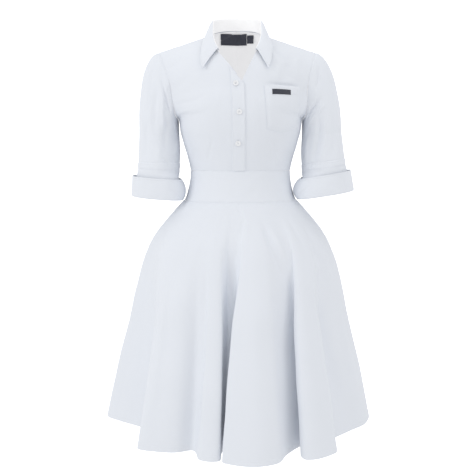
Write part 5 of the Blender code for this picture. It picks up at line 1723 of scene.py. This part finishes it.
class DRESS_OT_bodice(DressOperator, bpy.types.Operator):
    """Make the two fronts and the back of the bodice"""

    bl_idname = "dress.bodice"
    bl_label = "Bodice"

    def execute(self, context):
        cloth, sewing = context.scene.dress_cloth, context.scene.dress_sewing
        outer, inner = outer_cotton(context), inner_cotton(context)
        runs = []
        for name, side, centre, meets, flat in (
            ("front_right", -1.0, CENTRE_RIGHT, SLOPE_MEETS_RIGHT, (0.208, 0.380)),
            ("front_left", 1.0, CENTRE_LEFT, SLOPE_MEETS_LEFT, (0.216, 0.375)),
        ):
            front = front_cloth(side, centre, meets)
            piece = Wall("cloth_" + name, cloth.panel_wall).add(front).build(outer, inner)
            finish_piece(piece, "white_cloth", "bodice_" + name)
            runs.append(front.line("end", sewing.edge_distance, 0.42, 0.995))
            runs.append(front.line("bottom", sewing.edge_distance, 0.02, 0.98))
            if side < 0.0:
                runs.append(front.line("start", 0.0045, 0.66, 0.80))
            else:
                runs.append(front.line("start", 0.0045, 0.55, 0.80))
        back = Wall("cloth_back", cloth.panel_wall)
        for number, half in enumerate(back_cloths()):
            back.add(half, u_from=(1.0 - 2.0 * number) * 0.09)
            runs.append(half.line("end", sewing.edge_distance, 0.01, 0.62))
            runs.append(half.line("bottom", sewing.edge_distance, 0.0, 0.98))
            runs.append(half.line("top", sewing.edge_distance, 0.02, 0.98))
        piece = back.build(outer, inner, merge=True)
        finish_piece(piece, "white_cloth", "bodice_back")
        stitches("stitching_bodice", runs, sewing)
        return {"FINISHED"}


class DRESS_OT_collar(DressOperator, bpy.types.Operator):
    """Make the fold-down collar and its topstitching"""

    bl_idname = "dress.collar"
    bl_label = "Collar"

    def execute(self, context):
        cloth, sewing = context.scene.dress_cloth, context.scene.dress_sewing
        collar = collar_cloth()
        wall = Wall("cloth_collar", cloth.double_wall).add(collar)
        rows, columns = collar.points.shape[:2]
        # The stand's outer faces take the inner cotton with its painted glow, which brightens the stand
        # inside the neck; all other faces take the outer cotton.
        facing = np.zeros(len(wall.slots[0]), int)
        facing[:(STAND_LINES - 1) * (columns - 1)] = 1
        wall.slots[0] = facing
        piece = wall.build(outer_cotton(context), inner_cotton(context))
        finish_piece(piece, "white_cloth", "collar")
        held = sewing.collar_distance
        v = lengths(collar.points)[1]
        low = rows - 1 - int(np.argmax((v[-1:] - v)[::-1, columns // 2] > held))
        runs = [collar.line("bottom", held, 0.026, 0.974, 600)]
        for edge in ("start", "end"):
            runs.append(collar.line(edge, held, 0.36, low / (rows - 1.0), 120))
        stitches("stitching_collar", runs, sewing)
        return {"FINISHED"}


class DRESS_OT_front_strip(DressOperator, bpy.types.Operator):
    """Make the buttoned strip, its buttonholes and the three buttons"""

    bl_idname = "dress.front_strip"
    bl_label = "Front strip and buttons"

    def execute(self, context):
        cloth, sewing = context.scene.dress_cloth, context.scene.dress_sewing
        buttons = context.scene.dress_buttons
        strip = placket_cloth()
        piece = Wall("cloth_front_strip", cloth.double_wall).add(strip).build(
            outer_cotton(context), inner_cotton(context))
        finish_piece(piece, "white_cloth", "placket")
        edge = sewing.edge_distance
        runs = [
            strip.line("start", edge, 0.012, 1.0),
            strip.line("end", edge, 0.012, 1.0),
            strip.line("top", edge, 0.06, 0.94, 60),
        ]
        for x, z in BUTTON_PLACES:
            bars = np.linspace(-BUTTONHOLE_HALF, BUTTONHOLE_HALF, 26)
            lift = np.full(len(bars), PLACKET_LIFT)
            for offset in (-BUTTONHOLE_SIDE, BUTTONHOLE_SIDE):
                near, facing = over_front(x + offset - BUTTONHOLE_BAR, z + bars, lift)
                far = over_front(x + offset + BUTTONHOLE_BAR, z + bars, lift)[0]
                runs += [(np.stack([a, b]), np.stack([n, n])) for a, b, n in zip(near, far, facing)]
        stitches("stitching_front_strip", runs, sewing)
        finish = button_material(context)
        for number, (x, z) in enumerate(BUTTON_PLACES, start=1):
            place, facing = over_front(np.array([x]), z, np.array([BUTTON_LIFT]))
            points, across, upward = button_points(place[0], facing[0], buttons)
            rows, columns = points.shape[:2]
            faces = revolve_faces(rows, columns)
            made = mesh_object(
                "button_four_holes_%d" % number, points.reshape(-1, 3), faces, [finish], sharp=60.0)
            seal_mesh(made)
            finish_piece(made, "buttons", "button_%d" % number)
            self.sew_on(number, place[0], facing[0], across, upward, buttons, sewing)
        return {"FINISHED"}

    def sew_on(self, number, place, facing, across, upward, buttons, sewing):
        """Two crossed pairs of strands between a button's opposite holes."""
        holes = [place + across * x + upward * y + facing * 0.0016 for x, y in hole_places(buttons)]
        grids = []
        for first, second, rise in ((0, 2, 0.0005), (1, 3, 0.0008)):
            aside = unit(np.cross(holes[second] - holes[first], facing)) * sewing.thread_radius
            for shift in (-1.0, 1.0):
                grids.append(strand(holes[first] + aside * shift, holes[second] + aside * shift,
                                    facing, sewing.thread_radius, rise))
        rows, columns = grids[0].shape[:2]
        faces = np.concatenate([
            revolve_faces(rows, columns) + k * rows * columns for k in range(len(grids))])
        points = np.concatenate([grid.reshape(-1, 3) for grid in grids])
        thread = mesh_object("button_thread_%d" % number, points, faces, [thread_material(sewing)])
        seal_mesh(thread)
        finish_piece(thread, "buttons")


def seal_mesh(piece):
    """Joins a turned shape's repeated points, drops its empty faces and turns all faces outwards."""
    shape = bmesh.new()
    shape.from_mesh(piece.data)
    bmesh.ops.remove_doubles(shape, verts=shape.verts, dist=1e-7)
    bmesh.ops.dissolve_degenerate(shape, edges=shape.edges, dist=1e-8)
    open_edges = [edge for edge in shape.edges if edge.is_boundary]
    if open_edges:
        bmesh.ops.holes_fill(shape, edges=open_edges, sides=0)
    bmesh.ops.recalc_face_normals(shape, faces=shape.faces)
    shape.to_mesh(piece.data)
    shape.free()


class DRESS_OT_pocket(DressOperator, bpy.types.Operator):
    """Make the breast pocket and its woven tab"""

    bl_idname = "dress.pocket"
    bl_label = "Pocket"

    def execute(self, context):
        cloth, sewing = context.scene.dress_cloth, context.scene.dress_sewing
        pocket = pocket_cloth()
        piece = Wall("cloth_pocket", cloth.panel_wall).add(pocket).build(
            outer_cotton(context), inner_cotton(context))
        finish_piece(piece, "white_cloth", "chest_pocket")
        edge = sewing.edge_distance
        runs = [
            pocket.line("start", edge, 0.0, 0.975),
            pocket.line("end", edge, 0.0, 0.975),
            pocket.line("bottom", edge, 0.03, 0.97),
            pocket.line("top", POCKET_HEM - HEM_STITCH_INSET, 0.03, 0.97),
        ]
        stitches("stitching_pocket", runs, sewing)
        tab = tab_cloth()
        piece = Wall("woven_pocket_tab", cloth.panel_wall).add(tab).build(
            woven_label_material(context), woven_label_material(context))
        finish_piece(piece, "woven_label", "pocket_tab")
        return {"FINISHED"}


class DRESS_OT_sleeves(DressOperator, bpy.types.Operator):
    """Make the two sleeves"""

    bl_idname = "dress.sleeves"
    bl_label = "Sleeves"

    def execute(self, context):
        cloth, sewing = context.scene.dress_cloth, context.scene.dress_sewing
        runs = []
        for which, flat in (("right", (0.413, 0.280)), ("left", (0.406, 0.274))):
            sleeve = sleeve_cloth(which)
            piece = Wall("cloth_sleeve_" + which, cloth.panel_wall).add(sleeve).build(
                outer_cotton(context), inner_cotton(context))
            finish_piece(piece, "white_cloth", "sleeve_" + which)
            runs.append(sleeve.line("bottom", SLEEVE_STITCH, 0.0, 1.0))
            runs.append(sleeve.line("bottom", SLEEVE_STITCH + 0.0065, 0.0, 1.0))
        stitches("stitching_sleeves", runs, sewing)
        return {"FINISHED"}


class DRESS_OT_cuffs(DressOperator, bpy.types.Operator):
    """Make the two turned-back cuffs"""

    bl_idname = "dress.cuffs"
    bl_label = "Cuffs"

    def execute(self, context):
        cloth, sewing = context.scene.dress_cloth, context.scene.dress_sewing
        runs = []
        for which, flat in (("right", (0.421, 0.131)), ("left", (0.446, 0.132))):
            cuff = cuff_cloth(which)
            piece = Wall("cloth_cuff_" + which, cloth.double_wall).add(cuff).build(
                outer_cotton(context), outer_cotton(context))
            finish_piece(piece, "white_cloth", "cuff_" + which)
            runs.append(cuff.line("bottom", CUFF_STITCH, 0.0, 1.0))
        stitches("stitching_cuffs", runs, sewing)
        return {"FINISHED"}


class DRESS_OT_waistband(DressOperator, bpy.types.Operator):
    """Make the shaped waistband"""

    bl_idname = "dress.waistband"
    bl_label = "Waistband"

    def execute(self, context):
        cloth, sewing = context.scene.dress_cloth, context.scene.dress_sewing
        runs = []
        for name, band, wide in zip(("front", "back"), waist_cloths(), (0.379, 0.370)):
            piece = Wall("cloth_waistband_" + name, cloth.panel_wall).add(band).build(
                outer_cotton(context), inner_cotton(context))
            finish_piece(piece, "white_cloth", "waistband_" + name)
            runs.append(band.line("top", sewing.edge_distance))
            runs.append(band.line("bottom", sewing.edge_distance))
        stitches("stitching_waistband", runs, sewing)
        return {"FINISHED"}


class DRESS_OT_skirt(DressOperator, bpy.types.Operator):
    """Make the flared skirt with its folds and hem"""

    bl_idname = "dress.skirt"
    bl_label = "Skirt"

    def execute(self, context):
        cloth, sewing = context.scene.dress_cloth, context.scene.dress_sewing
        runs = []
        cuts = (((1.157, 0.638), 0.4920), ((1.067, 0.630), 0.4560))
        for name, skirt, (flat, area) in zip(("front", "back"), skirt_cloths(), cuts):
            piece = Wall("cloth_skirt_" + name, cloth.panel_wall).add(skirt).build(
                outer_cotton(context), inner_cotton(context))
            finish_piece(piece, "white_cloth", "skirt_" + name)
            "waistband_" + name
            runs.append(skirt.line("bottom", cloth.hem_depth - HEM_STEP, count=1600))
            runs.append(skirt.line("top", sewing.edge_distance, count=500))
        stitches("stitching_skirt", runs, sewing)
        return {"FINISHED"}


class DRESS_OT_labels(DressOperator, bpy.types.Operator):
    """Make the two bare labels inside the back neck"""

    bl_idname = "dress.labels"
    bl_label = "Neck labels"

    def execute(self, context):
        cloth = context.scene.dress_cloth
        dark = woven_label_material(context)
        for name, node, size in (
            ("woven_neck_label", "neck_label", (LABEL_FROM, LABEL_TO, LABEL_TOP, LABEL_HEIGHT)),
            ("woven_size_tab", "size_tab",
             (LABEL_TO + LABEL_SPACING, SIZE_TAB_TO, SIZE_TAB_TOP, SIZE_TAB_HEIGHT)),
        ):
            label = label_cloth(*size)
            piece = Wall(name, cloth.panel_wall).add(label).build(dark, dark)
            finish_piece(piece, "woven_label", node)
        return {"FINISHED"}


class DRESS_OT_stage(DressOperator, bpy.types.Operator):
    """Make the floor, the lights, the sky and the camera"""

    bl_idname = "dress.stage"
    bl_label = "Stage"

    def execute(self, context):
        settings = context.scene.dress_stage
        self.floor(settings)
        self.sky(context, settings)
        for name, size, place, aim_height in LAMPS:
            power = getattr(settings, name + "_power")
            self.light(name + "_light", power, size, place, (0.0, 0.0, aim_height))
        data = bpy.data.cameras.new("photo_camera")
        data.sensor_width = CAMERA_SENSOR * 1000.0
        data.lens = settings.focal_length * 1000.0
        data.clip_start = 0.05
        camera = bpy.data.objects.new("photo_camera", data)
        camera.location = CAMERA_PLACE
        camera.rotation_euler = (math.radians(90.0 - CAMERA_PITCH), 0.0, 0.0)
        context.scene.collection.objects.link(camera)
        context.scene.camera = camera
        context.scene.view_settings.view_transform = "Standard"
        return {"FINISHED"}

    def floor(self, settings):
        """The floor and backdrop, in pale paper."""
        finish = Finish("pale_paper", tuple(settings.floor_colour), 0.9, Specular_IOR_Level=0.1,
                        Emission_Strength=settings.floor_glow)
        grain = finish.noise(finish.object_place(), 3.0, 2.0)
        low = tuple(0.985 * part for part in settings.floor_colour)
        finish.feed("Base Color", finish.shade(grain, low, tuple(settings.floor_colour)))
        points = stage_points()
        rows, columns = points.shape[:2]
        number = np.arange(rows * columns).reshape(rows, columns)
        quads = grid_quads(number).reshape(-1, 4)
        floor = mesh_object("floor", points.reshape(-1, 3), quads, [finish.material])
        floor.visible_diffuse = False
        floor.visible_shadow = False

    def sky(self, context, settings):
        """Even white light from all round."""
        world = bpy.data.worlds.new("studio")
        world.use_nodes = True
        background = world.node_tree.nodes["Background"]
        background.inputs["Color"].default_value = (1.0, 1.0, 1.0, 1.0)
        background.inputs["Strength"].default_value = settings.sky_strength
        context.scene.world = world

    def light(self, name, power, size, place, aim):
        """A large soft square light at a place, turned to its aim."""
        data = bpy.data.lights.new(name, "AREA")
        data.energy = power
        data.size = size
        lamp = bpy.data.objects.new(name, data)
        lamp.location = place
        direction = Vector(aim) - Vector(place)
        lamp.rotation_euler = direction.to_track_quat("-Z", "Y").to_euler()
        bpy.context.scene.collection.objects.link(lamp)


class DRESS_PT_panel(bpy.types.Panel):
    """Lists the operators that make the dress"""

    bl_label = "Nurse Uniform Dress"
    bl_idname = "DRESS_PT_panel"
    bl_space_type = "VIEW_3D"
    bl_region_type = "UI"
    bl_category = "Dress"

    def draw(self, context):
        for maker in MAKERS:
            self.layout.operator(maker.bl_idname)
        for name in ("dress_cloth", "dress_sewing", "dress_buttons", "dress_labels", "dress_stage"):
            group = getattr(context.scene, name)
            box = self.layout.box()
            box.label(text=group.__doc__ or name)
            for field in group.__annotations__:
                box.prop(group, field)


MAKERS = (
    DRESS_OT_stage,
    DRESS_OT_bodice,
    DRESS_OT_collar,
    DRESS_OT_front_strip,
    DRESS_OT_pocket,
    DRESS_OT_sleeves,
    DRESS_OT_cuffs,
    DRESS_OT_waistband,
    DRESS_OT_skirt,
    DRESS_OT_labels,
)
GROUPS = {
    "dress_cloth": DressCloth,
    "dress_sewing": DressSewing,
    "dress_buttons": DressButtons,
    "dress_labels": DressLabels,
    "dress_stage": DressStage,
}


def register():
    """Registers the settings, the operators and the panel."""
    for name, group in GROUPS.items():
        bpy.utils.register_class(group)
        setattr(bpy.types.Scene, name, bpy.props.PointerProperty(type=group))
    for maker in MAKERS:
        bpy.utils.register_class(maker)
    bpy.utils.register_class(DRESS_PT_panel)


def unregister():
    """Takes the panel, the operators and the settings away again."""
    bpy.utils.unregister_class(DRESS_PT_panel)
    for maker in reversed(MAKERS):
        bpy.utils.unregister_class(maker)
    for name, group in reversed(GROUPS.items()):
        delattr(bpy.types.Scene, name)
        bpy.utils.unregister_class(group)


def main():
    """Makes every piece of the dress and the stage."""
    register()
    bpy.ops.dress.stage()
    bpy.ops.dress.bodice()
    bpy.ops.dress.collar()
    bpy.ops.dress.front_strip()
    bpy.ops.dress.pocket()
    bpy.ops.dress.sleeves()
    bpy.ops.dress.cuffs()
    bpy.ops.dress.waistband()
    bpy.ops.dress.skirt()
    bpy.ops.dress.labels()


if __name__ == "__main__":
    main()
